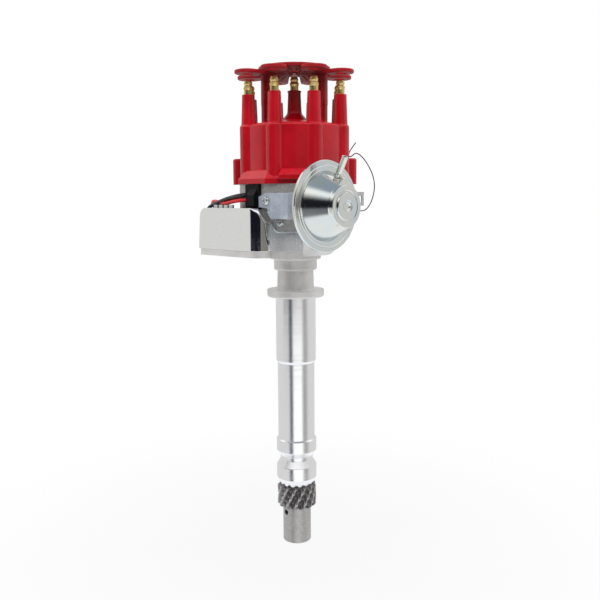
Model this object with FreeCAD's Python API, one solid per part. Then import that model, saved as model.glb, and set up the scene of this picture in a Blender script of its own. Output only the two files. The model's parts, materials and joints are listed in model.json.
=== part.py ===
import FreeCAD, Part
import math
import os
from FreeCAD import Placement, Rotation, Vector

# Ignition distributor for an eight-cylinder engine, in millimetres, +Z up along the shaft.
# The origin is on the shaft axis, at the underside of the mounting collar.
# The vacuum canister looks along +X and the module cover faces -Y.

ORIGIN = Vector(0, 0, 0)
UP = Vector(0, 0, 1)
CYLINDERS = 8
STEP = 360 / CYLINDERS

# Fits
RUNNING = 0.05
END_PLAY = 0.05
CLEAR = 0.3

# Shank and neck of the housing
COLLAR_RADIUS = 22.57
COLLAR_HEIGHT = 5.8
NECK_RADIUS = 14.4
NECK_TOP = 21.3
UPPER_NECK_RADIUS = 17.0
HUB_DISC_RADIUS = 20.17
HUB_DISC_BOTTOM = 30.0
SHANK_RADIUS = 15.9
SHANK_LENGTH = 51.0
SHANK_STEP = 2.0
LOWER_SHANK_RADIUS = 14.77
PILOT_RADIUS = 16.15
UPPER_PILOT_TOP = -115.5
UPPER_PILOT_HEIGHT = 10.0
LOWER_PILOT_TOP = -138.3
LOWER_PILOT_HEIGHT = 9.9
GROOVE_TOP = -130.2
GROOVE_HEIGHT = 2.9
GROOVE_RADIUS = 13.0
NOSE_BOTTOM = -154.0
NOSE_RADIUS = 13.5

# Base plate and bowl of the housing
BASE_BOTTOM = 33.6
BASE_THICKNESS = 5.1
BASE_FRONT_MARGIN = 10.1
BASE_LEFT_MARGIN = 11.9
BASE_CORNER_X = 5.6
BASE_CORNER_RADIUS = 11.3
BASE_NOTCH = 4.0
BASE_SIDE_BACK = 22.0
BOWL_RADIUS = 43.1
BOWL_WALL = 3.5
BOWL_RIM = 87.9
BOWL_FLOOR = 46.0
BOWL_FOOT_RADIUS = 28.0
BOWL_SHOULDER = 47.5
BOSS_RADIUS = 15.0
BOSS_SHOULDER = 62.0
JOURNAL_RADIUS = 11.5
JOURNAL_HEIGHT = 4.0

# Shaft, bushings and gear
SHAFT_RADIUS = 6.25
SHAFT_BOTTOM = -196.0
UPPER_SHAFT_RADIUS = 5.0
BUSHING_WALL = 2.2
UPPER_BUSHING_LENGTH = 30.0
LOWER_BUSHING_LENGTH = 26.0
WASHER_THICKNESS = 0.5
WASHER_RADIUS = 12.6
GEAR_TEETH = 13
GEAR_RADIUS = 15.8
GEAR_ROOT_RADIUS = 12.6
GEAR_FACE = 18.3
GEAR_HELIX = 27.0
GEAR_HUB_RADIUS = 11.37
GEAR_HUB_BOTTOM = -202.8
PIN_RADIUS = 2.35
PIN_HEIGHT = -177.5
PIN_AZIMUTH = 264.0
TANG_WIDTH = 3.2
TANG_DEPTH = 9.0

# Pickup
PLATE_THICKNESS = 2.0
PLATE_RADIUS = 27.0
LINK_PIN_RADIUS = 1.5
LINK_RADIUS = 31.0
SWING = 10.0
COIL_INNER = 13.4
COIL_OUTER = 20.0
COIL_HEIGHT = 4.95
MAGNET_OUTER = 26.0
MAGNET_HEIGHT = 5.5
POLE_THICKNESS = 1.6
AIR_GAP = 0.4
RELUCTOR_RADIUS = 17.2
RELUCTOR_THICKNESS = 2.0

# Centrifugal advance
SLEEVE_RADIUS = 8.5
WEIGHT_PLATE_BOTTOM = 79.0
WEIGHT_PLATE_THICKNESS = 1.6
WEIGHT_PLATE_RADIUS = 26.5
WEIGHT_PIVOT_RADIUS = 17.0
WEIGHT_PIVOT_AZIMUTH = 160.0
WEIGHT_INNER = 9.0
WEIGHT_OUTER = 19.0
WEIGHT_PIVOT_END = 3.6
WEIGHT_PIN_RADIUS = 1.6
CAM_LOBE = 2.4
CAM_RADIUS = 6.2
CAM_THICKNESS = 4.0
SPRING_PIN_RADIUS = 1.0
SPRING_PIN_REACH = 9.0
SPRING_RADIUS = 1.5
ADVANCE = 14.0

# Rotor
ROTOR_RADIUS = 28.0
ROTOR_BASE = 89.6
ROTOR_BASE_THICKNESS = 4.0
ROTOR_ARM_TOP = 104.0
ROTOR_TIP = 31.3
ROTOR_ARM_WIDTH = 14.0
ROTOR_AZIMUTH = 22.5
POST_REACH = 22.5
POST_RADIUS = 3.0

# Cap
RIM_RADIUS = 48.0
RIM_HEIGHT = 3.7
RIM_FLAT = 18.1
SKIRT_HEIGHT = 6.2
CAP_RADIUS = 40.0
CAP_TOP = 136.0
CAP_CAVITY = 35.5
CAP_ROOF_THICKNESS = 6.5
CAP_SLOPE = 3.8
CAP_EDGE = 2.5
TOWER_REACH = 37.4
TOWER_RIB_RADIUS = 6.8
RIB_DROP = 4.6
TOWER_HEIGHT = 18.3
TOWER_BASE_RADIUS = 5.56
TOWER_TOP_RADIUS = 4.73
CENTRE_TOWER_HEIGHT = 22.9
CENTRE_TOWER_RADIUS = 4.95
CENTRE_FLARE_RADIUS = 10.0
CENTRE_FLARE_HEIGHT = 6.0
TERMINAL_RADIUS = 3.2
TERMINAL_HEIGHT = 10.4
ELECTRODE_INNER = 32.2
ELECTRODE_BOTTOM = 100.0
ELECTRODE_HEIGHT = 8.0
BRUSH_RADIUS = 2.2
BRUSH_BOTTOM = 112.0
BRUSH_LENGTH = 8.0
BRUSH_SPRING_LENGTH = 8.0
EAR_REACH = 43.4
EAR_RADIUS = 4.7
EAR_HEIGHT = 19.8
EAR_SINK = 2.4
POST_BOSS_REACH = 20.5
POST_BOSS_RADIUS = 5.0
POST_BOSS_HEIGHT = 12.1

# Wire retainer
LOOP_REACH = 38.0
LOOP_RADIUS = 9.6
LOOP_HOLE = 4.4
LOOP_RISE = 33.6
LOOP_THICKNESS = 2.8
HUB_RISE = 4.3
ARM_ROOT_HALF = 1.4
ARM_RIB_DEPTH = 1.2
HUB_RADIUS = 13.5
HUB_HOLE = 5.2

# Module, its cover and leads
COVER_TOP = 70.2
COVER_LOW_TOP = 51.6
COVER_WALL = 1.8
COVER_FLOOR = 1.0
COVER_OVERHANG = 0.4
MODULE_TOP = 64.0
MODULE_DEPTH = 20.0
LEAD_RADIUS = 1.4
COVER_END = 2.0
COVER_DRAFT = 2.4

# Vacuum canister and bracket
CAN_Y = -31.0
CAN_Z = 71.4
CAN_RADIUS = 32.2
CAN_BACK = 56.8
CAN_RIM_BACK = 58.9
CAN_RIM_FRONT = 61.5
CAN_FACE = 82.5
CAN_SHEET = 0.7
BRACKET_STANDOFF = 2.4
BRACKET_SHEET = 1.6
ROD_TRAVEL = 5.4
ROD_WIDTH = 3.0
ROD_THICKNESS = 1.6
NIPPLE_RADIUS = 2.25
NIPPLE_BORE = 1.2
CONE_RADIUS = 24.6
CONE_TOP_RADIUS = 15.9
TONGUE_RISE = 15.6
TONGUE_RADIUS = 4.1
BRACKET_BOTTOM = 62.4
BRACKET_TOP = 81.1
SIDE_SCREW_AZIMUTH = -59.5
SIDE_SCREW_Z = 59.6

# Clip and spring wire
CLIP_AZIMUTH = 45
CLIP_Z = 76.5
CLIP_HALF = 5.3
WIRE_RADIUS = 0.35

# Values that follow from those above
BASE_FRONT = BOWL_RADIUS + BASE_FRONT_MARGIN
BASE_LEFT = BOWL_RADIUS + BASE_LEFT_MARGIN
BRACKET_FACE = BOWL_RADIUS + BRACKET_STANDOFF
CAP_ROOF = CAP_TOP - CAP_ROOF_THICKNESS
DRUM_TOP = CAP_TOP - CAP_SLOPE
TOWER_BASE = CAP_TOP - RIB_DROP
TOWER_TOP = CAP_TOP + TOWER_HEIGHT
CAN_FOLD = CAN_RIM_BACK + CAN_SHEET
CAN_DISH = CAN_BACK + 1.8
CENTRE_TOWER_TOP = CAP_TOP + CENTRE_TOWER_HEIGHT
POST_BOSS_TOP = CAP_TOP + POST_BOSS_HEIGHT
LOOP_BOTTOM = CAP_TOP + LOOP_RISE
BRUSH_TOP = BRUSH_BOTTOM + BRUSH_LENGTH
BRUSH_SPRING_TOP = BRUSH_TOP + BRUSH_SPRING_LENGTH
EAR_TOP = BOWL_RIM + EAR_HEIGHT
BASE_TOP = BASE_BOTTOM + BASE_THICKNESS
BOWL_INNER = BOWL_RADIUS - BOWL_WALL
JOURNAL_TOP = BOSS_SHOULDER + JOURNAL_HEIGHT
BUSHING_RADIUS = SHAFT_RADIUS + BUSHING_WALL
GEAR_TOP = NOSE_BOTTOM - WASHER_THICKNESS - 2 * END_PLAY
PLATE_BOTTOM = BOSS_SHOULDER + END_PLAY
PLATE_TOP = PLATE_BOTTOM + PLATE_THICKNESS
SHAFT_SHOULDER = JOURNAL_TOP + CLEAR
SLEEVE_BOTTOM = SHAFT_SHOULDER + END_PLAY
POLE_BOTTOM = PLATE_TOP + MAGNET_HEIGHT
POLE_TOP = POLE_BOTTOM + POLE_THICKNESS
RELUCTOR_BOTTOM = PLATE_TOP + COIL_HEIGHT + CLEAR
WEIGHT_PLATE_TOP = WEIGHT_PLATE_BOTTOM + WEIGHT_PLATE_THICKNESS
CAM_BOTTOM = WEIGHT_PLATE_TOP + CLEAR
CAM_TOP = CAM_BOTTOM + CAM_THICKNESS
WEIGHT_BOTTOM = CAM_BOTTOM + 0.1
CAM_TAB_TOP = CAM_TOP + 1.2
SPRING_LEVEL = CAM_TAB_TOP + 0.2 + SPRING_RADIUS
SPRING_PIN_TOP = SPRING_LEVEL + SPRING_RADIUS
WEIGHT_PIVOT_TO_CAM_PIN = math.degrees(math.acos(SPRING_PIN_REACH / WEIGHT_PIVOT_RADIUS))
ROTOR_TOP = ROTOR_BASE + ROTOR_BASE_THICKNESS
CAP_BOTTOM = BOWL_RIM
SKIRT_BOTTOM = CAP_BOTTOM + RIM_HEIGHT
SKIRT_TOP = SKIRT_BOTTOM + SKIRT_HEIGHT
LOOP_TOP = LOOP_BOTTOM + LOOP_THICKNESS
GROMMET_FACE = -BOWL_RADIUS - 1.9
HUB_BOTTOM = LOOP_BOTTOM + HUB_RISE
HUB_TOP = LOOP_TOP + HUB_RISE
FIRST_TOWER = STEP / 2
EAR_AZIMUTHS = (45, 225)
WINDOW_SIDES = (0, 90, 180, 270)
ADVANCE_FRAME = ROTOR_AZIMUTH - 90


def polar(radius, azimuth, height=0.0):
    """Point at a radius and azimuth about the shaft axis."""
    angle = math.radians(azimuth)
    return Vector(radius * math.cos(angle), radius * math.sin(angle), height)


def around(shape, azimuth):
    """Copy of a shape, turned about the shaft axis."""
    copy = shape.copy()
    copy.rotate(ORIGIN, UP, azimuth)
    return copy


def on_can_axis(shape):
    """A shape made about Z, laid along +X on the canister's axis."""
    copy = shape.copy()
    copy.Placement = Placement(Vector(0, CAN_Y, CAN_Z), Rotation(UP, Vector(1, 0, 0)))
    return copy


def fused(*shapes):
    """One solid from several that meet."""
    return shapes[0].fuse(list(shapes[1:])).removeSplitter()


def corner(before, point, after, radius):
    """Start, middle and end of the arc that rounds one corner."""
    back = (before - point).normalize()
    ahead = (after - point).normalize()
    half = back.getAngle(ahead) / 2
    reach = radius / math.tan(half)
    middle = (back + ahead).normalize() * (radius / math.sin(half) - radius)
    return point + back * reach, point + middle, point + ahead * reach


def rounded_wire(points, closed=True):
    """Straight runs through (point, corner radius) pairs, with an arc at each rounded corner."""
    count = len(points)
    turns = []
    for index, (point, radius) in enumerate(points):
        if radius and (closed or 0 < index < count - 1):
            turns.append(corner(points[index - 1][0], point, points[(index + 1) % count][0], radius))
        else:
            turns.append((point, None, point))
    edges = []
    for index, (start, middle, end) in enumerate(turns):
        if middle:
            edges.append(Part.Arc(start, middle, end).toShape())
        if closed or index < count - 1:
            following = turns[(index + 1) % count][0]
            if (following - end).Length > 1e-6:
                edges.append(Part.LineSegment(end, following).toShape())
    return Part.Wire(edges)


def turned(points):
    """Solid of revolution about Z from (radius, height) or (radius, height, corner radius)."""
    corners = [(Vector(p[0], 0, p[1]), p[2] if len(p) > 2 else 0) for p in points]
    return Part.Face(rounded_wire(corners)).revolve(ORIGIN, UP, 360)


def outline(points, height):
    """Closed outline at one height from (x, y) or (x, y, corner radius)."""
    corners = [(Vector(p[0], p[1], height), p[2] if len(p) > 2 else 0) for p in points]
    return rounded_wire(corners)


def prism(points, bottom, top):
    """Straight-sided solid on an outline."""
    return Part.Face(outline(points, bottom)).extrude(Vector(0, 0, top - bottom))


def cylinder(radius, bottom, top, centre=ORIGIN):
    """Upright cylinder."""
    return Part.makeCylinder(radius, top - bottom, Vector(centre.x, centre.y, bottom))


def ring(outer, inner, bottom, top):
    """Flat ring about the shaft axis."""
    return cylinder(outer, bottom, top).cut(cylinder(inner, bottom, top))


def bar(start, end, radius):
    """Cylinder between two points."""
    return Part.makeCylinder(radius, (end - start).Length, start, end - start)


def block(x_range, y_range, z_range):
    """Box between limits."""
    size = [high - low for low, high in (x_range, y_range, z_range)]
    return Part.makeBox(*size, Vector(x_range[0], y_range[0], z_range[0]))


def pan_screw(head_radius, head_height, radius, length):
    """Cross-recess screw, head up, its seat at the origin."""
    crown = head_height * 0.6
    head = turned([(0, 0), (head_radius, 0), (head_radius, head_height, crown), (0, head_height)])
    slot = head_radius * 0.6
    width = head_radius * 0.14
    deep = head_height * 0.5
    recess = block((-slot, slot), (-width, width), (deep, head_height))
    recess = recess.fuse(around(recess, 90))
    return fused(head.cut(recess), cylinder(radius, -length, 0))


def placed(shape, position, direction=UP):
    """Copy of a shape with its own Z turned to a direction, at a position."""
    copy = shape.copy()
    copy.Placement = Placement(position, Rotation(UP, direction))
    return copy


def save(name, shape):
    """Write one named piece or one group of like pieces."""
    solids = shape.Solids
    volume = sum(solid.Volume for solid in solids)
    print(name, len(solids), "solids", round(volume, 1), "mm3", shape.isValid())
    shape.exportStep(f"parts/{name}.step")


# Housing

def shank_profile():
    """Outline of the cast and turned housing below the base plate."""
    pilot_chamfer = 0.8
    pilot_bottom = UPPER_PILOT_TOP - UPPER_PILOT_HEIGHT
    lower_bottom = LOWER_PILOT_TOP - LOWER_PILOT_HEIGHT
    groove_bottom = GROOVE_TOP - GROOVE_HEIGHT
    return [
        (0, BASE_BOTTOM),
        (HUB_DISC_RADIUS, BASE_BOTTOM),
        (HUB_DISC_RADIUS, HUB_DISC_BOTTOM, 0.8),
        (UPPER_NECK_RADIUS, HUB_DISC_BOTTOM, 0.6),
        (UPPER_NECK_RADIUS, NECK_TOP, 1.5),
        (NECK_RADIUS - 0.2, NECK_TOP, 0.5),
        (NECK_RADIUS + 0.3, COLLAR_HEIGHT, 0.8),
        (COLLAR_RADIUS, COLLAR_HEIGHT, 0.4),
        (COLLAR_RADIUS, 0, 1.8),
        (SHANK_RADIUS, 0),
        (SHANK_RADIUS, -SHANK_LENGTH),
        (LOWER_SHANK_RADIUS, -SHANK_LENGTH - SHANK_STEP),
        (LOWER_SHANK_RADIUS, UPPER_PILOT_TOP),
        (PILOT_RADIUS, UPPER_PILOT_TOP - pilot_chamfer),
        (PILOT_RADIUS, pilot_bottom),
        (GROOVE_RADIUS, GROOVE_TOP),
        (GROOVE_RADIUS, groove_bottom),
        (PILOT_RADIUS, LOWER_PILOT_TOP),
        (PILOT_RADIUS, lower_bottom),
        (NOSE_RADIUS, NOSE_BOTTOM),
        (0, NOSE_BOTTOM),
    ]


def base_shape(grow, bottom, top, left_reach):
    """The base plate's plan under the module, or what follows its edge at a distance, between two heights."""
    front = -BASE_FRONT - grow
    left = -left_reach
    back = -BASE_SIDE_BACK + grow
    right = BASE_CORNER_X + BASE_CORNER_RADIUS + grow
    notch = BASE_NOTCH + grow
    return prism([(left, front, notch), (right, front, BASE_CORNER_RADIUS + grow), (right, back),
                  (left, back, notch)], bottom, top)


def bowl_outside(gap, top):
    """Outer form of the bowl: a round wall on a foot that tapers in to the neck."""
    radius = BOWL_RADIUS + gap
    return turned([(0, BASE_BOTTOM), (BOWL_FOOT_RADIUS + gap, BASE_BOTTOM), (radius, BOWL_SHOULDER, 3.0),
                   (radius, top), (0, top)])


def bracket_pad():
    """Cast pad on the bowl that the canister's bracket seats on."""
    return block((15.5, 30), (-BRACKET_FACE + BRACKET_SHEET, -34), (69, 79))


def housing():
    """Cast aluminium housing: bowl, base plate, neck, collar and turned shank."""
    shank = turned(shank_profile())
    base = base_shape(0, BASE_BOTTOM, BASE_TOP, BASE_LEFT)
    hollow = turned([(JOURNAL_RADIUS, BOWL_RIM), (BOWL_INNER, BOWL_RIM), (BOWL_INNER, BOWL_FLOOR, 3),
                     (BOSS_RADIUS, BOWL_FLOOR, 2), (BOSS_RADIUS, BOSS_SHOULDER),
                     (JOURNAL_RADIUS, BOSS_SHOULDER)])
    room = cylinder(JOURNAL_RADIUS, JOURNAL_TOP, BOWL_RIM)
    bowl = bowl_outside(0, BOWL_RIM).cut([hollow, room])
    pads = bracket_pad().cut(cylinder(BOWL_INNER + 1, BASE_TOP, BOWL_RIM))
    body = fused(shank, base, bowl, pads)
    cuts = [cylinder(BUSHING_RADIUS, NOSE_BOTTOM, JOURNAL_TOP), grommet_slot(), rod_slot(), ring_groove()]
    for hole in (bracket_screw_holes(), cover_screw_set(), module_screw_set(), clip_pin(), wire_anchor()):
        cuts.append(hole)
    return body.cut(cuts)


def bushing(bottom, top):
    """Plain bearing pressed into the housing."""
    return ring(BUSHING_RADIUS, SHAFT_RADIUS + RUNNING, bottom, top)


def ring_groove():
    """Groove round the journal for the plate's retaining ring."""
    low = PLATE_TOP + END_PLAY
    return ring(JOURNAL_RADIUS, JOURNAL_RADIUS - 0.8, low, low + 1.0)


def plate_retaining_ring():
    """Open spring ring that holds the pickup plate down on its journal."""
    low = PLATE_TOP + END_PLAY
    whole = ring(COIL_INNER - CLEAR - 0.3, JOURNAL_RADIUS - 0.8, low, low + 1.0)
    return whole.cut(block((0, 20), (-1.5, 1.5), (low, low + 1.0)))


# Shaft and drive gear

def roll_pin_hole(radius):
    """Cross hole through gear hub and shaft."""
    reach = polar(GEAR_HUB_RADIUS + 1, PIN_AZIMUTH)
    height = Vector(0, 0, PIN_HEIGHT)
    return bar(height - reach, height + reach, radius)


def shaft():
    """Main shaft, with the slot for the oil pump drive at its foot."""
    foot = 0.8
    body = turned([(0, SHAFT_BOTTOM), (SHAFT_RADIUS - foot, SHAFT_BOTTOM),
                   (SHAFT_RADIUS, SHAFT_BOTTOM + foot), (SHAFT_RADIUS, SHAFT_SHOULDER),
                   (UPPER_SHAFT_RADIUS, SHAFT_SHOULDER),
                   (UPPER_SHAFT_RADIUS, CAM_TAB_TOP + 2), (0, CAM_TAB_TOP + 2)])
    slot = block((-SHAFT_RADIUS, SHAFT_RADIUS), (-TANG_WIDTH / 2, TANG_WIDTH / 2),
                 (SHAFT_BOTTOM, SHAFT_BOTTOM + TANG_DEPTH))
    clip = ring(UPPER_SHAFT_RADIUS, UPPER_SHAFT_RADIUS - 0.6, CAM_TAB_TOP, CAM_TAB_TOP + 0.8)
    return body.cut([slot, roll_pin_hole(PIN_RADIUS), clip])


def shaft_clip():
    """Open clip on the shaft's top that keeps the centre cam down."""
    whole = ring(UPPER_SHAFT_RADIUS + 1.5, UPPER_SHAFT_RADIUS - 0.6, CAM_TAB_TOP, CAM_TAB_TOP + 0.8)
    return whole.cut(block((0, 10), (-2, 2), (CAM_TAB_TOP, CAM_TAB_TOP + 0.8)))


def gear_section(height, turn):
    """Tooth outline at one height of the helical gear."""
    pitch = 360 / GEAR_TEETH
    points = []
    for tooth in range(GEAR_TEETH):
        middle = tooth * pitch + turn
        for radius, share in ((GEAR_ROOT_RADIUS, -0.36), (GEAR_RADIUS, -0.15),
                              (GEAR_RADIUS, 0.15), (GEAR_ROOT_RADIUS, 0.36)):
            points.append(polar(radius, middle + share * pitch, height))
    return Part.makePolygon(points + [points[0]])


def drive_gear():
    """Helical drive gear with its hub, bored for the shaft and cross-drilled for the pin."""
    bottom = GEAR_TOP - GEAR_FACE
    pitch_radius = (GEAR_RADIUS + GEAR_ROOT_RADIUS) / 2
    twist = math.degrees(GEAR_FACE * math.tan(math.radians(GEAR_HELIX)) / pitch_radius)
    section_count = 5
    steps = [index / (section_count - 1) for index in range(section_count)]
    wires = [gear_section(bottom + GEAR_FACE * step, twist * step) for step in steps]
    teeth = Part.makeLoft(wires, True, True)
    chamfer = 1.2
    blank = turned([(0, bottom), (GEAR_RADIUS - 2, bottom), (GEAR_RADIUS + 0.1, bottom + chamfer),
                    (GEAR_RADIUS + 0.1, GEAR_TOP - chamfer), (GEAR_RADIUS - 2, GEAR_TOP), (0, GEAR_TOP)])
    hub_top = bottom + 0.01
    hub = turned([(0, GEAR_HUB_BOTTOM), (GEAR_HUB_RADIUS - 0.5, GEAR_HUB_BOTTOM),
                  (GEAR_HUB_RADIUS, GEAR_HUB_BOTTOM + 0.5), (GEAR_HUB_RADIUS, hub_top), (0, hub_top)])
    body = teeth.common(blank).fuse(hub)
    return body.cut([cylinder(SHAFT_RADIUS, GEAR_HUB_BOTTOM, GEAR_TOP), roll_pin_hole(PIN_RADIUS)])


def roll_pin():
    """Slotted spring pin through gear and shaft."""
    half = polar(GEAR_HUB_RADIUS - 0.6, PIN_AZIMUTH)
    height = Vector(0, 0, PIN_HEIGHT)
    ends = (height - half, height + half)
    return bar(*ends, PIN_RADIUS).cut(bar(*ends, PIN_RADIUS * 0.55))


def thrust_washer():
    """Washer between the nose of the housing and the gear."""
    low = GEAR_TOP + END_PLAY
    return ring(WASHER_RADIUS, SHAFT_RADIUS + RUNNING, low, low + WASHER_THICKNESS)


# Pickup

def link_pin_place():
    """Where the vacuum rod hooks on the pickup plate."""
    return Vector(0, -LINK_RADIUS, 0)


def rod_bottom():
    """Height of the vacuum rod's underside."""
    return CAN_Z - ROD_THICKNESS / 2


def pickup_plate():
    """Plate that turns on the housing's journal, with the pin that the vacuum rod pulls."""
    disc = cylinder(PLATE_RADIUS, PLATE_BOTTOM, PLATE_TOP)
    tab_radius = 4.5
    tab = prism([(-tab_radius, 0), (-tab_radius, -LINK_RADIUS - tab_radius, tab_radius - 0.01),
                 (tab_radius, -LINK_RADIUS - tab_radius, tab_radius - 0.01), (tab_radius, 0)],
                PLATE_BOTTOM, PLATE_TOP)
    pin = cylinder(LINK_PIN_RADIUS, PLATE_TOP, rod_bottom() + ROD_THICKNESS + 1.2, link_pin_place())
    collar = cylinder(LINK_PIN_RADIUS + 1.2, PLATE_TOP, rod_bottom() - CLEAR, link_pin_place())
    body = fused(disc, tab, pin, collar)
    bore = cylinder(JOURNAL_RADIUS + RUNNING, PLATE_BOTTOM, PLATE_TOP)
    return body.cut([bore, pickup_screw_set()])


def pickup_coil():
    """Round coil in its plastic bobbin, wound about the timing sleeve."""
    top = PLATE_TOP + COIL_HEIGHT
    flange = 0.9
    waist = COIL_OUTER - 1.2
    return turned([(COIL_INNER, PLATE_TOP), (COIL_OUTER, PLATE_TOP), (COIL_OUTER, PLATE_TOP + flange),
                   (waist, PLATE_TOP + flange), (waist, top - flange), (COIL_OUTER, top - flange),
                   (COIL_OUTER, top), (COIL_INNER, top)])


def magnet_ring():
    """Ring magnet round the coil."""
    return ring(MAGNET_OUTER, COIL_OUTER + 0.2, PLATE_TOP, POLE_BOTTOM).cut(pickup_screw_set())


def teeth(count, inner, outer, width, bottom, top):
    """Radial teeth, as separate solids."""
    tooth = block((inner, outer), (-width / 2, width / 2), (bottom, top))
    return [around(tooth, index * 360 / count) for index in range(count)]


def pole_piece():
    """Steel ring with one inward tooth per cylinder."""
    tip = RELUCTOR_RADIUS + AIR_GAP
    body = ring(MAGNET_OUTER, COIL_OUTER + 0.8, POLE_BOTTOM, POLE_TOP)
    body = fused(body, *teeth(CYLINDERS, tip + 0.2, COIL_OUTER + 1.5, 3.0, POLE_BOTTOM, POLE_TOP))
    return body.cut([cylinder(tip, POLE_BOTTOM, POLE_TOP), pickup_screw_set()])


def reluctor():
    """Toothed wheel on the timing sleeve that passes the pole piece."""
    top = RELUCTOR_BOTTOM + RELUCTOR_THICKNESS
    body = cylinder(COIL_INNER, RELUCTOR_BOTTOM, top)
    body = fused(body, *teeth(CYLINDERS, COIL_INNER - 1, RELUCTOR_RADIUS + 1, 3.0, RELUCTOR_BOTTOM, top))
    return body.common(cylinder(RELUCTOR_RADIUS, RELUCTOR_BOTTOM, top)).cut(
        cylinder(SLEEVE_RADIUS, RELUCTOR_BOTTOM, top))


def pickup_screw_set():
    """Three screws that hold pole piece and magnet on the plate."""
    reach = (COIL_OUTER + MAGNET_OUTER) / 2 + 0.2
    screw = pan_screw(2.2, 1.3, 1.2, POLE_TOP - PLATE_BOTTOM)
    return Part.makeCompound([placed(screw, polar(reach, azimuth, POLE_TOP)) for azimuth in (30, 150, 262)])


# Centrifugal advance and rotor, drawn with the rotor arm along +Y

def pivot_places(height=0.0):
    """Pivots of the two weights."""
    return [polar(WEIGHT_PIVOT_RADIUS, WEIGHT_PIVOT_AZIMUTH + half, height) for half in (0, 180)]


def cam_pin_places(height=0.0):
    """Spring pins on the centre cam, each where a spring line is tangent to the pins' circle."""
    azimuth = WEIGHT_PIVOT_AZIMUTH + WEIGHT_PIVOT_TO_CAM_PIN
    return [polar(SPRING_PIN_REACH, azimuth + half, height) for half in (0, 180)]


def weight_plate():
    """Timing sleeve and the plate on it that carries the weights and the rotor."""
    sleeve = cylinder(SLEEVE_RADIUS, SLEEVE_BOTTOM, WEIGHT_PLATE_TOP)
    half_width = 14.0
    plate = cylinder(WEIGHT_PLATE_RADIUS, WEIGHT_PLATE_BOTTOM, WEIGHT_PLATE_TOP).common(
        block((-30, 30), (-half_width, half_width), (WEIGHT_PLATE_BOTTOM, WEIGHT_PLATE_TOP)))
    places = [Vector(x, 0, 0) for x in (-POST_REACH, POST_REACH)]
    posts = [cylinder(POST_RADIUS, WEIGHT_PLATE_TOP, ROTOR_BASE, place) for place in places]
    bore = cylinder(UPPER_SHAFT_RADIUS + RUNNING, SLEEVE_BOTTOM, WEIGHT_PLATE_TOP)
    return fused(sleeve, plate, *posts).cut([bore, rotor_screw_set(), weight_pin_set()])


def weight_pin_set():
    """Riveted pivot pins of the weights, long enough to hold the springs."""
    pins = []
    for place in pivot_places():
        pin = turned([(0, WEIGHT_PLATE_BOTTOM), (WEIGHT_PIN_RADIUS, WEIGHT_PLATE_BOTTOM),
                      (WEIGHT_PIN_RADIUS, CAM_TAB_TOP), (SPRING_PIN_RADIUS, CAM_TAB_TOP),
                      (SPRING_PIN_RADIUS, SPRING_PIN_TOP), (0, SPRING_PIN_TOP)])
        pins.append(placed(pin, place))
    return Part.makeCompound(pins)


def weight():
    """Centrifugal weight: a crescent that swings out on the pin at one of its ends."""
    top = CAM_TOP - 0.3
    far = polar(WEIGHT_PIVOT_RADIUS, 180 - WEIGHT_PIVOT_AZIMUTH)
    pivot = pivot_places()[0]
    crescent = ring(WEIGHT_OUTER, WEIGHT_INNER, WEIGHT_BOTTOM, top)
    reach = WEIGHT_OUTER + 2
    edge = polar(reach, 180 - WEIGHT_PIVOT_AZIMUTH)
    wedge = prism([(0, 0), (edge.x, edge.y), (reach, reach), (-reach, reach), (-edge.x, edge.y)],
                  WEIGHT_BOTTOM, top)
    body = crescent.common(wedge)
    ends = [cylinder(WEIGHT_PIVOT_END, WEIGHT_BOTTOM, top, place) for place in (pivot, far)]
    body = fused(body, *ends)
    bore = cylinder(WEIGHT_PIN_RADIUS + RUNNING, WEIGHT_BOTTOM, top, pivot)
    return body.cut([bore, cylinder(WEIGHT_INNER, WEIGHT_BOTTOM, top)])


def centre_cam():
    """Two-lobed cam pressed on the shaft, with the tabs that the springs pull on."""
    lobe = polar(CAM_LOBE, WEIGHT_PIVOT_AZIMUTH - 70)
    body = fused(*[cylinder(CAM_RADIUS, CAM_BOTTOM, CAM_TOP, place) for place in (lobe, lobe * -1)])
    first, second = cam_pin_places()
    along = (first - second).normalize()
    side = UP.cross(along) * 2.2
    ends = (first + along * 2.2, second - along * 2.2)
    corners = [ends[0] + side, ends[1] + side, ends[1] - side, ends[0] - side]
    tab = prism([(p.x, p.y, 2.0) for p in corners], CAM_TOP, CAM_TAB_TOP)
    pins = [cylinder(SPRING_PIN_RADIUS, CAM_TAB_TOP, SPRING_PIN_TOP, place) for place in (first, second)]
    hub = cylinder(UPPER_SHAFT_RADIUS + 1.5, CAM_TOP, CAM_TAB_TOP)
    return fused(body, tab, hub, *pins).cut(cylinder(UPPER_SHAFT_RADIUS, CAM_BOTTOM, CAM_TAB_TOP))


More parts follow.
